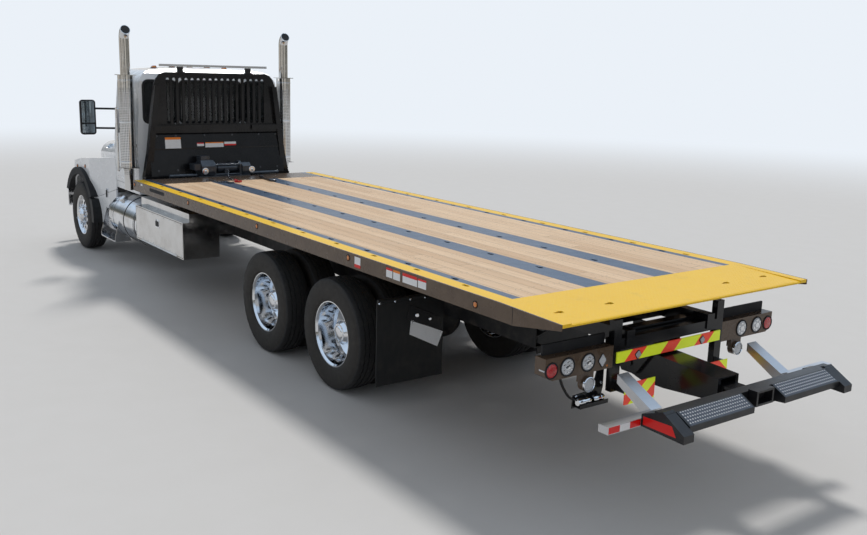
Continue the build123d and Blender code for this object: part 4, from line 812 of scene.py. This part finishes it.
LAMP_X, LAMP_Z = -5.240, 0.940
FASCIA_Y = 1.2955
DIAMOND, TILTED = ((0, 0.6, 0.8), (0, -0.6, 0.8)), ((0, 0.6, 0.8), (0, -0.8, 0.6))


def round_lamp(shape, centre, out, radius, colour_slot, collar_slot=0):
    """A rubber collar round a shallow domed lens."""
    shape.turned([(-0.004, radius + 0.007), (0.005, radius + 0.007), (0.008, radius + 0.003), (0.006, radius - 0.003),
                  (-0.003, radius - 0.003)], centre, out, collar_slot)
    shape.domed([(-0.003, radius - 0.0025), (0.003, radius - 0.0025)], 0.003, radius - 0.003, 0.008, centre, out,
                colour_slot, steps=6)


lamps = Shape()
for side in SIDES.values():
    round_lamp(lamps, (LAMP_X, side * 1.151, LAMP_Z), BACK, 0.050, 1)
    for y in (0.822, 1.011):
        spot = (LAMP_X, side * y, LAMP_Z + 0.004)
        round_lamp(lamps, spot, BACK, 0.058, 2)
        lamps.turned([(0.000, 0.020), (0.0115, 0.020), (0.0125, 0.016)], spot, BACK, 3)
        for turn in range(6):
            a = math.radians(60 * turn + 30)
            cell = (LAMP_X, spot[1] + 0.035 * math.cos(a), spot[2] + 0.035 * math.sin(a))
            lamps.turned([(0.000, 0.011), (0.0085, 0.011), (0.0095, 0.008)], cell, BACK, 3, 20)
    lamps.box((-5.168, -5.152), sorted((side * 0.600, side * 1.170)), (1.010, 1.096), 0)
lamps.pad((LAMP_X, 0.689, 0.936), BACK, 0.034, 0.034, 0.012, 0.004, axes=DIAMOND)
lamps.pad((LAMP_X - 0.003, 0.689, 0.936), BACK, 0.029, 0.029, 0.010, 0.006, 2, axes=DIAMOND)
lamps.domed([(-0.002, 0.009)], 0, 0.0085, 0.005, (LAMP_X, 0.638, 0.891), BACK, 4, 20)
lamps.done("tail_lenses", "subframe", ["rubber", "lens_red", "lens_clear", "bright_metal", "lens_amber"])

work = Shape()
for side in SIDES.values():
    spot = (-5.236, side * 0.80, 0.785)
    work.turned([(-0.002, 0.053), (0.010, 0.053), (0.013, 0.049), (0.009, 0.046), (0.002, 0.045)], spot, BACK, 0)
    work.domed([(0.001, 0.044), (0.004, 0.044)], 0.004, 0.043, 0.006, spot, BACK, 1, steps=6)
work.done("work_lenses", "subframe", ["bright_metal", "lens_clear"])

markers = Shape()
for side in SIDES.values():
    for x, z in ((2.320, 1.283), (0.529, 1.283), (-1.227, 1.283), (-2.944, 1.283), (-4.618, 1.260)):
        spot = (x, side * FASCIA_Y, z)
        markers.turned([(-0.002, 0.027), (0.003, 0.027), (0.005, 0.024), (0.002, 0.021)], spot, (0, side, 0), 0)
        markers.domed([(0.001, 0.0205)], 0.002, 0.020, 0.007, spot, (0, side, 0), 1, 28)
markers.done("side_markers", "bed", ["rubber", "lens_amber"])

fender = Shape()
for side in SIDES.values():
    for x, z in ((5.205, 1.232), (4.808, 1.264)):
        spot = (x, side * 1.199, z)
        fender.turned([(-0.006, 0.030), (0.004, 0.030), (0.006, 0.027)], spot, (0, side, 0), 0)
        fender.domed([(0.003, 0.026)], 0.005, 0.025, 0.010, spot, (0, side, 0), 1, 28)
fender.done("fender_markers", "hood", ["rubber", "lens_amber"])

# Blank labels and reflective tape


def blank_label(shape, corners, out, head=None, foot=None, share=0.28):
    """A bare white label; head and foot are slots of its coloured bands."""
    a, b, c, d = (np.array(p, float) for p in corners)
    out = np.array(out, float)
    shape.plate([a, b, c, d], out, 0.0011, 0)
    lift = out * 0.0004
    for band, (p, q, r, s) in ((head, (a, b, c, d)), (foot, (d, c, b, a))):
        if band is not None:
            shape.plate([p + lift, q + lift, q + (r - q) * share + lift, p + (s - p) * share + lift], out, 0.0012, band)


labels = Shape()
for side in SIDES.values():
    def square(x0, x1, z0, z1):
        return [(x, side * FASCIA_Y, z) for x, z in ((x0, z1), (x1, z1), (x1, z0), (x0, z0))]

    def on_fascia(x0, x1, z0, z1, **bands):
        blank_label(labels, square(x0, x1, z0, z1), (0, side, 0), **bands)

    on_fascia(-3.045, -3.135, 1.225, 1.312, foot=1, share=0.3)
    on_fascia(-3.515, -3.600, 1.238, 1.312, head=1, share=0.25)
    on_fascia(-3.612, -3.705, 1.236, 1.310, head=2, share=0.25)
    on_fascia(-3.740, -3.930, 1.238, 1.312, head=1, share=0.32)
    on_fascia(-3.942, -4.045, 1.240, 1.308, head=1, share=0.22)
    on_fascia(2.020, 2.085, 1.295, 1.318)
    labels.plate(square(-5.004, -5.000, 1.212, 1.326), (0, side, 0), 0.0009, 3)
    labels.plate(square(1.764, 1.277, 1.262, 1.302), (0, side, 0), 0.0012, 3)
labels.done("fascia_labels", "bed", ["label_white", "label_red", "label_orange", "rubber"])


def guard_x(z):
    """The guard's rear face: straight runs of x over z."""
    return float(np.interp(z, (1.33, 1.676, 1.69, 1.87), (2.630, 2.677, 2.667, 2.689)))


guard_labels = Shape()
for y0, y1, z0, z1, bands in ((0.751, 0.537, 1.690, 1.835, {"head": 2, "share": 0.2}),
                              (0.196, -0.067, 1.693, 1.760, {"head": 2, "share": 0.2}),
                              (0.313, 0.215, 1.712, 1.756, {"head": 1, "share": 0.3}),
                              (-0.080, -0.250, 1.712, 1.762, {"foot": 1, "share": 0.4})):
    corners = [(guard_x(z1), y0, z1), (guard_x(z1), y1, z1), (guard_x(z0), y1, z0), (guard_x(z0), y0, z0)]
    blank_label(guard_labels, corners, (-0.993, 0, 0.12), **bands)
guard_labels.done("guard_labels", "chassis", ["label_white", "label_red", "label_orange"])

tapes = Shape()
for side in SIDES.values():
    for n, (y0, y1) in enumerate(((0.905, 0.998), (0.999, 1.088), (1.089, 1.184))):
        face = [(-5.790, side * y, z) for y, z in ((y0, 0.746), (y1, 0.746), (y1, 0.704), (y0, 0.704))]
        tapes.plate(face, BACK, 0.0008, n % 2)
    face = [(x, side * 0.900, z) for x, z in ((-5.806, 0.768), (-6.025, 0.776), (-6.062, 0.714), (-5.806, 0.714))]
    tapes.plate(face, (0, side, 0), 0.0008, 0)
tapes.done("arm_tapes", "crossbar", ["tape_red", "tape_white"])

# Mud flap tag

tag = Shape()
tag_x = hit("mud_flaps", (-4.2, 0.80, 0.60), FORWARD)[0].x
for side in SIDES.values():
    holder = [(tag_x - 0.004, side * y, z) for y, z in ((0.897, 0.905), (0.592, 0.766), (0.562, 0.640), (0.925, 0.788))]
    tag.plate(holder, BACK, 0.001, 2)
    rim = [Vector(a).lerp(Vector(b), s) for a, b in zip(holder, holder[1:] + holder[:1]) for s in (0.04, 0.5, 0.96)]
    bead(tag, rim, [BACK] * len(rim), 0.005, 3)
    tag.turned([(0.0, 0.019), (0.018, 0.019), (0.024, 0.014)], (tag_x - 0.004, side * 0.838, 0.815), BACK, 1, 24)
    tag.turned([(0.0, 0.014), (0.012, 0.014), (0.016, 0.010)], (tag_x - 0.004, side * 0.700, 0.765), BACK, 1, 24)
    corners = [(tag_x - 0.006, side * y, z)
               for y, z in ((0.888, 0.777), (0.557, 0.632), (0.612, 0.509), (0.900, 0.655))]
    tag.plate(corners, BACK, 0.002, 0)
    for y, z in ((0.875, 0.757), (0.580, 0.628)):
        tag.turned([(-0.002, 0.009), (0.004, 0.009), (0.006, 0.005)], (tag_x - 0.006, side * y, z), BACK, 1, 16)
    for y in np.linspace(0.60, 1.20, 5):
        spot, out = hit("mud_flaps", (-4.2, side * y, 0.955), FORWARD)
        tag.turned([(-0.002, 0.016), (0.002, 0.016), (0.003, 0.010), (0.009, 0.009)], spot, out, 1, 20)
tag.done("flap_tags", "chassis", ["label_white", "bright_metal", "rubber", "black_plastic"])

# Trailer sockets on their bracket beside the post

sockets = Shape()
sockets.prism([(-5.150, 0.612), (-5.225, 0.612), (-5.225, 0.640), (-5.219, 0.640), (-5.219, 0.618), (-5.150, 0.618)],
              "y", 0.585, 0.850, 0)
wing = [(0.572, 0.705), (0.572, 0.905), (0.620, 0.905), (0.660, 0.760), (0.700, 0.700), (0.855, 0.690), (0.862, 0.600),
        (0.600, 0.600)]
sockets.prism(wing, "x", -5.156, -5.148, 0)
sockets.tube([(-5.170, 1.010, 0.872), (-5.172, 0.985, 0.800), (-5.172, 0.925, 0.712), (-5.168, 0.850, 0.660)], 0.010, 0)
for y, z in ((0.596, 0.880), (0.596, 0.740), (0.640, 0.625), (0.830, 0.680)):
    sockets.turned([(0.0, 0.011), (0.006, 0.011), (0.008, 0.008)], (-5.156, y, z), BACK, 1, 6)
for y0, y1 in ((0.725, 0.845), (0.600, 0.705)):
    body = [(0.0, 0.020), (0.010, 0.026), (0.030, 0.026), (0.034, 0.022), (0.060, 0.022), (0.064, 0.027),
            (y1 - y0 - 0.010, 0.027), (y1 - y0, 0.022)]
    sockets.turned(body, (-5.188, y0, 0.648), (0, 1, 0), 1, 28)
sockets.done("trailer_sockets", "subframe", ["black_steel", "bright_metal"], bevel=0.001)

# Lamps on the upper board

board_lamps = Shape()
for side in SIDES.values():
    spot, out = hit("warning_boards", (-6, side * 0.345, 0.925), FORWARD)
    board_lamps.pad(spot, out, 0.026, 0.026, 0.010, 0.004, axes=TILTED)
    board_lamps.pad(spot + out * 0.003, out, 0.021, 0.021, 0.008, 0.005, 1, axes=TILTED)
board_lamps.done("board_lamps", "subframe", ["rubber", "lens_clear"])

# Cab, hood and guard details

gaskets = Shape()
for y, half in ((0.7125, 0.2175), (-0.7125, 0.2175), (0.0, 0.44)):
    gaskets.moulding((2.925, y, 2.29), BACK, half + 0.022, 0.292, 0.085, 0.034, 0.010)
gaskets.done("rear_window_gaskets", "chassis", ["rubber"])

for hand, side in SIDES.items():
    door = "door_" + hand
    handle = Shape()
    spot, out = from_side(door, 3.225, side, 1.70)
    handle.pad(spot, out, 0.070, 0.034, 0.016, 0.004)
    handle.pad(spot + out * 0.004, out, 0.052, 0.014, 0.010, 0.014, 1)
    handle.turned([(0.0, 0.011), (0.007, 0.011), (0.008, 0.008)], spot + Vector((-0.040, 0, -0.050)), out, 1, 20)
    spot, out = from_side(door, 3.50, side, 1.22)
    handle.pad(spot, out, 0.33, 0.010, 0.006, 0.004, 1)
    handle.done("handle_" + hand, door, ["black_plastic", "bright_metal"])

mirrors = Shape()
for side in SIDES.values():
    for z, half in ((2.105, 0.150), (1.875, 0.062)):
        spot = hit("mirrors", (3.70, side * 1.35, z), FORWARD)[0]
        mirrors.moulding(spot, BACK, 0.094, half + 0.008, 0.024, 0.010, 0.005)
        mirrors.pad(spot, BACK, 0.086, half, 0.018, 0.003, 1)
mirrors.done("mirror_faces", "chassis", ["black_plastic", "mirror_glass"])

STACK_X, STACK_Y = 2.985, 1.14
stacks = Shape()
for side in SIDES.values():
    mouth = Vector((2.916, side * STACK_Y, 3.205))
    way = Vector((-0.883, 0, 0.469))
    stacks.turned([(-0.004, 0.0630), (-0.001, 0.0634), (-0.0005, 0.0600)], mouth, way, 0)
    stacks.turned([(-0.003, 0.0575), (0.0012, 0.0575), (0.0010, 0.052)], mouth - way * 0.001, way, 1)
    for z in (1.50, 2.02, 2.56):
        loop = [(-0.011, 0.1000), (-0.009, 0.1022), (0.009, 0.1022), (0.011, 0.1000)]
        stacks.turned(loop, (STACK_X, side * STACK_Y, z), UP, 0, 48)
        stacks.box((3.082, 3.112), sorted((side * 1.128, side * 1.152)), (z - 0.010, z + 0.010), 0)
        stacks.turned([(-0.020, 0.006), (0.020, 0.006)], (3.102, side * STACK_Y, z), (0, 1, 0), 0, 6)
stacks.done("stack_trim", "chassis", ["bright_metal", "chassis_paint"], bevel=0.001)

roof = Shape()
for y in (-0.52, -0.26, 0.0, 0.26, 0.52):
    spot = hit("cab_shell", (3.66, y, 3.2), DOWN)[0]
    roof.pad(spot, UP, 0.062, 0.036, 0.030, 0.007)
    rows = []
    for rise, shrink, slide in ((0.005, 1.0, 0), (0.018, 0.93, 0.004), (0.028, 0.75, 0.012), (0.033, 0.4, 0.018)):
        loop = rounded(0.054 * shrink, 0.030 * shrink, 0.026 * shrink)
        rows.append([(spot.x - slide + a, spot.y + b, spot.z + rise) for a, b in loop])
    roof.grid(rows, 1, ends=True)
roof.done("roof_lamps", "chassis", ["rubber", "lens_amber"])

guard_bits = Shape()
for y in (-0.86, -0.60, -0.20, 0.20, 0.60, 0.86):
    for z in (1.40, 1.855):
        spot, out = hit("cab_guard", (2.3, y, z), FORWARD)
        if spot.x > 2.80:
            continue
        guard_bits.turned([(-0.002, 0.015), (0.002, 0.015)], spot, out, 0, 24)
        guard_bits.turned([(0.0015, 0.010), (0.008, 0.010), (0.009, 0.0085)], spot, out, 0, 6)
guard_bits.done("guard_bolts", "chassis", ["chain_black"])

# Toolboxes and tanks

TANK_Y, TANK_Z = 0.83, 0.66

for hand, side in SIDES.items():
    latch = Shape()
    door = "toolbox_door_" + hand
    spot, out = from_side(door, 1.81, side, 0.846)
    latch.pad(spot, out, 0.066, 0.052, 0.012, 0.003)
    latch.pad(spot + out * 0.003, out, 0.046, 0.032, 0.010, 0.006, 1)
    latch.turned([(0.0, 0.009), (0.006, 0.009), (0.007, 0.007)], spot + Vector((0.030, 0, 0.038)), out, 1, 20)
    for x in np.linspace(1.02, 2.54, 9):
        for z in (0.580, 0.945):
            spot, out = from_side(door, x, side, z)
            latch.domed([(-0.001, 0.0075), (0.001, 0.0075)], 0.001, 0.0068, 0.003, spot, out, 0, 14, steps=4)
    latch.done("box_latch_" + hand, "box_door_" + hand, ["bright_metal", "black_plastic"])
    tank = Shape()
    around = Vector((0, side * 0.62, 0.785))
    centre = Vector((3.62, side * TANK_Y, TANK_Z))
    cap = centre + around.normalized() * 0.318
    tank.turned([(-0.012, 0.050), (0.012, 0.050), (0.015, 0.046)], cap, around, 0, 36)
    tank.domed([(0.014, 0.056), (0.030, 0.056), (0.036, 0.052)], 0.036, 0.050, 0.010, cap, around, 0, 20)
    tank.done("tank_cap_" + hand, "chassis", ["bright_metal"])

# Winch, hooks and chain

winch_bits = Shape()
for side in SIDES.values():
    winch_bits.turned([(-0.004, 0.044), (0.006, 0.044), (0.009, 0.040), (0.009, 0.016), (0.016, 0.015), (0.018, 0.012)],
                      (2.353, side * 0.333, 1.407), BACK, 0)
winch_bits.done("winch_discs", "bed", ["bright_metal"])

DECK_Z = 1.3312


def chain(shape, start, end, wire=0.0042, length=0.036, width=0.0115):
    """Links of round bar, each turned a quarter from the last, lying along a slightly bowed line."""
    start, end = np.array(start, float), np.array(end, float)
    count = int(np.linalg.norm(end - start) / (length - 2 * wire * 1.05))
    way = (end - start) / np.linalg.norm(end - start)
    side = np.cross(UP, way)
    t = np.linspace(0, 2 * np.pi, 20, endpoint=False)
    for n in range(count):
        s = (n + 0.5) / count
        middle = start + (end - start) * s + side * 0.035 * math.sin(s * 7.0)
        flat = side if n % 2 else np.array((0, 0, 0.55)) + side * 0.8
        long = (length / 2 - wire) * np.sign(np.cos(t)) * np.abs(np.cos(t)) ** 0.7
        wide = (width - wire) * np.sin(t)
        middle = middle + np.array((0, 0, wire if n % 2 else wire + 0.5 * (width - wire)))
        line = middle + long[:, None] * way + wide[:, None] * flat
        bead(shape, line, line - line.mean(axis=0), wire)


def on_deck(rise, *spots):
    return [(x, y, DECK_Z + rise) for x, y in spots]


links = Shape()
chain(links, (1.985, 0.485, DECK_Z), (1.665, 0.335, DECK_Z))
links.tube(on_deck(0.011, (1.665, 0.335), (1.640, 0.324), (1.600, 0.335), (1.575, 0.310), (1.585, 0.280),
                   (1.615, 0.283)), 0.0095, 0, 12, 6)
links.done("deck_chain", "bed", ["chain_black"])

spare = Shape()
spare.tube(on_deck(0.012, (1.930, -0.270), (1.800, -0.262), (1.660, -0.250)), 0.0115, 0, 14, 6)
spare.tube(on_deck(0.013, (1.665, -0.250), (1.610, -0.236), (1.563, -0.252), (1.555, -0.292), (1.590, -0.305)),
           0.0125, 0, 14, 6)
spare.turned([(-0.022, 0.019), (-0.018, 0.022), (0.018, 0.022), (0.022, 0.019)],
             on_deck(0.0225, (1.930, -0.270))[0], FORWARD, 0, 20)
spare.done("spare_hook", "bed", ["chain_black"])

# Windshield, hood and front

panes = Shape()
for side in SIDES.values():
    spots, outs = [], []
    for a, b in rounded(0.424, 0.350, 0.05, 5):
        spot, out = from_front("cab_glass", side * 0.465 + a, 2.195 + b)
        spots.append(spot + out * 0.004)
        outs.append(out)
    bead(panes, spots, outs, 0.013, 0)
    foot = from_front("cab_shell", side * 0.30, 1.795)[0]
    panes.turned([(-0.006, 0.022), (0.016, 0.020), (0.024, 0.012)], foot, (1, 0, 0.2), 1, 20)
    arm = [foot + Vector((0.018, 0, 0.004))]
    for y, z in ((0.33, 1.90), (0.42, 2.05)):
        spot, out = from_front("cab_glass", side * y, z)
        arm.append(spot + out * 0.040)
    panes.tube(arm, 0.0065, 1, 10)
    blade = []
    for s in np.linspace(0, 1, 7):
        spot, out = from_front("cab_glass", side * (0.15 + 0.52 * s), 1.90 + 0.31 * s)
        blade.append(spot + out * 0.020)
    panes.tube(blade, 0.0085, 1, 8)
    panes.tube([blade[3], arm[-1]], 0.007, 1, 8)
panes.done("windshield_trim", "chassis", ["rubber", "black_plastic"])

nose = Shape()
for side in SIDES.values():
    spot, out = from_side("hood_shell", 5.327, side, 1.500)
    along = Vector(FORWARD) - out * out.x
    axes = (along, out.cross(along))
    nose.moulding(spot, out, 0.165, 0.052, 0.050, 0.014, 0.012, axes=axes)
    nose.pad(spot, out, 0.153, 0.040, 0.038, 0.003, 1, 0.010, axes)
    for k in range(-4, 5):
        nose.pad(spot + along * (k * 0.032), out, 0.004, 0.038, 0.003, 0.008, axes=axes)
    spot, out = from_side("hood_shell", 4.16, side, 0.98)
    nose.pad(spot, out, 0.028, 0.020, 0.008, 0.008)
    nose.tube([spot + out * 0.012 + Vector((0.002 * k, 0, -0.026 * k)) for k in range(5)], 0.0085, 1, 10)
top = [hit("hood_shell", (x, 0, 3), DOWN)[0] + Vector((0, 0, 0.001)) for x in np.linspace(4.25, 5.80, 12)]
nose.tube(top, 0.006, 0, 10, 2)
ring = from_front("hood_shell", 0.448, 1.23)[0]
nose.moulding((ring.x, 0, 1.2325), FORWARD, 0.455, 0.302, 0.05, 0.036, 0.020, 0, 0.012)
nose.done("hood_trim", "hood", ["bright_metal", "black_plastic"])

HEADLAMP_X = 5.905
eyes = Shape()
for side in SIDES.values():
    centre = (HEADLAMP_X, side * 0.825, 1.02)
    eyes.moulding(centre, FORWARD, 0.139, 0.094, 0.030, 0.012, 0.010)
    eyes.pad(centre, FORWARD, 0.127, 0.082, 0.022, 0.002, 1)
    for y in (0.762, 0.872):
        spot = (HEADLAMP_X, side * y, 1.022)
        eyes.turned([(0.0, 0.053), (0.008, 0.053), (0.011, 0.050), (0.007, 0.046)], spot, FORWARD, 0)
        eyes.domed([(0.001, 0.046)], 0.005, 0.045, 0.012, spot, FORWARD, 2, steps=6)
    eyes.pad((HEADLAMP_X, side * 0.941, 1.02), FORWARD, 0.012, 0.070, 0.008, 0.008, 3)
eyes.done("headlamp_lenses", "hood", ["bright_metal", "black_plastic", "lens_clear", "lens_amber"])

front = Shape()
for side in SIDES.values():
    spot, out = from_front("bumper", side * 0.78, 0.66)
    front.turned([(-0.006, 0.068), (0.006, 0.068), (0.010, 0.064), (0.007, 0.058)], spot, out, 1)
    front.domed([(-0.003, 0.058)], 0.003, 0.057, 0.012, spot, out, 2, steps=6)
    for y, z in ((0.30, 0.75), (0.30, 0.57), (1.05, 0.75), (1.05, 0.57), (0.55, 0.75), (0.55, 0.57)):
        spot, out = from_front("bumper", side * y, z)
        front.domed([(-0.003, 0.019), (0.001, 0.019)], 0.001, 0.017, 0.008, spot, out, 0, 24)
front.done("bumper_trim", "chassis", ["bright_metal", "black_plastic", "lens_clear"])

straps = Shape()
for side in SIDES.values():
    for x in (2.86, 3.30, 3.80):
        middle = (x, side * TANK_Y, TANK_Z)
        straps.turned([(-0.026, 0.3190), (-0.025, 0.3235), (0.025, 0.3235), (0.026, 0.3190)], middle, FORWARD, 1, 72)
        straps.turned([(-0.010, 0.3230), (-0.009, 0.3255), (0.009, 0.3255), (0.010, 0.3230)], middle, FORWARD, 0, 72)
straps.done("tank_straps", "chassis", ["bright_metal", "rubber"])

# Seats

SEAT_Y = 0.48
PRESSURE, LAST_FRAME, SEAM_DEPTH, SEAM_WIDTH = 4, 20, 0.006, 0.035


def swollen(piece, voxel, cap):
    """The piece remeshed evenly and blown up as stuffed cloth, no point moving more than the cap."""
    even = piece.modifiers.new("even", "REMESH")
    even.mode = "VOXEL"
    even.voxel_size = voxel
    flat = bpy.data.meshes.new_from_object(piece.evaluated_get(bpy.context.evaluated_depsgraph_get()))
    piece.modifiers.clear()
    piece.data = flat
    rest = np.empty(len(flat.vertices) * 3)
    flat.vertices.foreach_get("co", rest)
    swell = piece.modifiers.new("swell", "CLOTH")
    swell.settings.quality = 5
    swell.settings.use_pressure = True
    swell.settings.uniform_pressure_force = PRESSURE
    swell.settings.effector_weights.gravity = 0
    swell.point_cache.frame_start, swell.point_cache.frame_end = 1, LAST_FRAME
    for frame_number in range(1, LAST_FRAME + 1):
        bpy.context.scene.frame_set(frame_number)
    blown = piece.evaluated_get(bpy.context.evaluated_depsgraph_get()).data
    full = np.empty(len(blown.vertices) * 3)
    blown.vertices.foreach_get("co", full)
    piece.modifiers.clear()
    bpy.context.scene.frame_set(1)
    rest, full = rest.reshape(-1, 3), full.reshape(-1, 3)
    move = full - rest - (full - rest).mean(axis=0)
    size = np.linalg.norm(move, axis=1)[:, None]
    return rest + move * np.minimum(1, cap / np.maximum(size, 1e-9))


def cushion(kind, xs, across, zs, crown, roll, channels, lean=0.0, cuts=24):
    """A stuffed pad on each side: p = centre + half * f(u), with f a rounded box whose faces swell by
    crown * (1 - u^2)(1 - v^2) and whose edges are drawn in by roll, then blown up as cloth and sewn in
    channels, each a groove of SEAM_DEPTH * exp(-(u - c)^2 / SEAM_WIDTH^2)."""
    ys = (SEAT_Y - across, SEAT_Y + across)
    centre = np.array([(a + b) / 2 for a, b in (xs, ys, zs)])
    half = np.array([(b - a) / 2 for a, b in (xs, ys, zs)])
    made = bmesh.new()
    bmesh.ops.create_cube(made, size=2)
    bmesh.ops.subdivide_edges(made, edges=made.edges, cuts=cuts, use_grid_fill=True)
    p = np.array([v.co for v in made.verts])
    small = half - 0.003
    core = np.clip(p * small, roll - small, small - roll)
    gap = p * small - core
    size = np.linalg.norm(gap, axis=1)[:, None]
    q = core + gap / np.maximum(size, 1e-6) * np.minimum(roll, size)
    thin = int(np.argmin(half))
    wide = [k for k in range(3) if k != thin]
    bulge = (1 - p[:, wide[0]] ** 2) * (1 - p[:, wide[1]] ** 2)
    q[:, thin] += np.sign(p[:, thin]) * np.abs(p[:, thin]) ** 3 * crown * bulge
    q[:, wide[0]] -= np.sign(p[:, wide[0]]) * np.abs(p[:, wide[0]]) ** 6 * 0.010 * (1 - p[:, wide[1]] ** 2)
    for vert, spot in zip(made.verts, q):
        vert.co = spot
    data = bpy.data.meshes.new(kind)
    made.to_mesh(data)
    made.free()
    piece = put(kind + "_left", data)
    q = swollen(piece, voxel=0.009, cap=0.007)
    u = q / half
    bulge = np.clip(1 - u[:, wide[0]] ** 2, 0, 1) * np.clip(1 - u[:, wide[1]] ** 2, 0, 1)
    seam = sum(np.exp(-((u[:, wide[0]] - c) / SEAM_WIDTH) ** 2) for c in channels)
    q[:, thin] -= np.sign(u[:, thin]) * np.clip(np.abs(u[:, thin]), 0, 1) ** 3 * SEAM_DEPTH * seam * (bulge > 0.06)
    q[:, 0] -= lean * q[:, 2]
    for hand, shift in (("left", 0.0), ("right", -2 * SEAT_Y)):
        if hand == "right":
            piece = put(kind + "_right", piece.data.copy())
            piece.data.materials.clear()
        piece.data.vertices.foreach_set("co", (q + centre + (0, shift, 0)).ravel())
        piece.data.polygons.foreach_set("use_smooth", [True] * len(piece.data.polygons))
        piece.data.materials.append(MATS["seat_cloth"])
        piece.data.update()
        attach(piece, "chassis")
        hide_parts("seats")


# Pedestals, pans, back shells and headrest posts

seat_frames = Shape()
foot = float(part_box("seats")[0][2])
for side in SIDES.values():
    y = side * SEAT_Y
    rows = []
    for z, half_x, half_y in ((foot, 0.190, 0.170), (foot + 0.014, 0.190, 0.170), (foot + 0.030, 0.150, 0.130),
                              (1.290, 0.150, 0.130), (1.340, 0.215, 0.200), (1.352, 0.250, 0.226),
                              (1.384, 0.250, 0.226)):
        loop = rounded(half_x, half_y, 0.045) + (3.360, y)
        rows.append(np.c_[loop, np.full(len(loop), z)])
    seat_frames.grid(rows, 0, ends=True)
    rows = []
    for inset, behind in ((0.014, 0.082), (0.0, 0.074), (0.0, 0.030)):
        loop = rounded(0.205 - inset, 0.295 - inset, 0.06) + (y, 1.810)
        rows.append(np.c_[3.125 - 0.136 * (loop[:, 1] - 1.810) - behind, loop])
    seat_frames.grid(rows, 0, ends=True)
    for hand in (-1, 1):
        post = y + hand * 0.055
        plate = [(3.330, 1.362), (3.330, 1.384), (3.235, 1.400), (3.215, 1.470), (3.185, 1.600), (3.140, 1.600),
                 (3.130, 1.440), (3.150, 1.362)]
        seat_frames.prism(plate, "y", *sorted((y + hand * 0.226, y + hand * 0.234)), 1)
        seat_frames.turned([(0.0, 0.026), (0.008, 0.026), (0.012, 0.020)], (3.176, y + hand * 0.233, 1.436),
                           (0, hand, 0), 0, 24)
        seat_frames.tube([(3.086, post, 2.080), (3.072, post, 2.150), (3.060, post, 2.210)], 0.006, 1)
        seat_frames.turned([(0.0, 0.014), (0.014, 0.013), (0.018, 0.009)], (3.079, post, 2.118), (-0.14, 0, 1), 0, 16)
seat_frames.done("seat_frames", "chassis", ["black_plastic", "black_steel"], replaces=("seats",), bevel=0.0015)

cushion("seat_cushion", (3.085, 3.615), 0.235, (1.383, 1.476), 0.006, 0.040, (-0.5, 0, 0.5))
cushion("seat_back", (3.067, 3.183), 0.223, (1.487, 2.132), 0.006, 0.045, (-0.45, 0.45), 0.136)
cushion("headrest", (3.013, 3.095), 0.125, (2.165, 2.325), 0.004, 0.035, (), 0.10)

# Floor, world and light

REACH = 60
floor = put("floor", bpy.data.meshes.new("floor"))
floor.data.from_pydata([(x * REACH, y * REACH, 0) for x, y in ((-1, -1), (1, -1), (1, 1), (-1, 1))], [],
                       [(0, 1, 2, 3)])
floor.data.materials.append(floor_paper().made)

world = bpy.data.worlds.new("world")
bpy.context.scene.world = world
world.use_nodes = True
air = Nodes(world.node_tree, "Generated")


def sky(colour, strength=1.0):
    return air.light("Background", colour, strength)


# Polished metal sees a bright sky over a broken dark skyline
skyline = air.over(air.noise(2.6, 2, 0.5).step(0.44, 0.56), sky((0.10, 0.105, 0.095)), sky((0.62, 0.58, 0.52)))
mirrored_sky = air.over(air.z.step(0.05, 0.34), skyline, sky((0.60, 0.74, 0.92)))
plain = air.over(air.ray("Camera"), sky((0.86, 0.92, 1.0), 0.46), sky(PALE))
plain = air.over(air.ray("Transmission"), plain, sky(PALE))
air.feed(air.tree.nodes["World Output"].inputs[0], air.over(air.ray("Glossy"), plain, mirrored_sky))

sun = put("sun", bpy.data.lights.new("sun", "SUN"))
sun.data.energy = 1.9
sun.data.angle = math.radians(10)
sun.data.color = (1.0, 0.975, 0.94)
sun.rotation_euler = Vector((-0.67, 0.555, -1.31)).to_track_quat("-Z", "Y").to_euler()
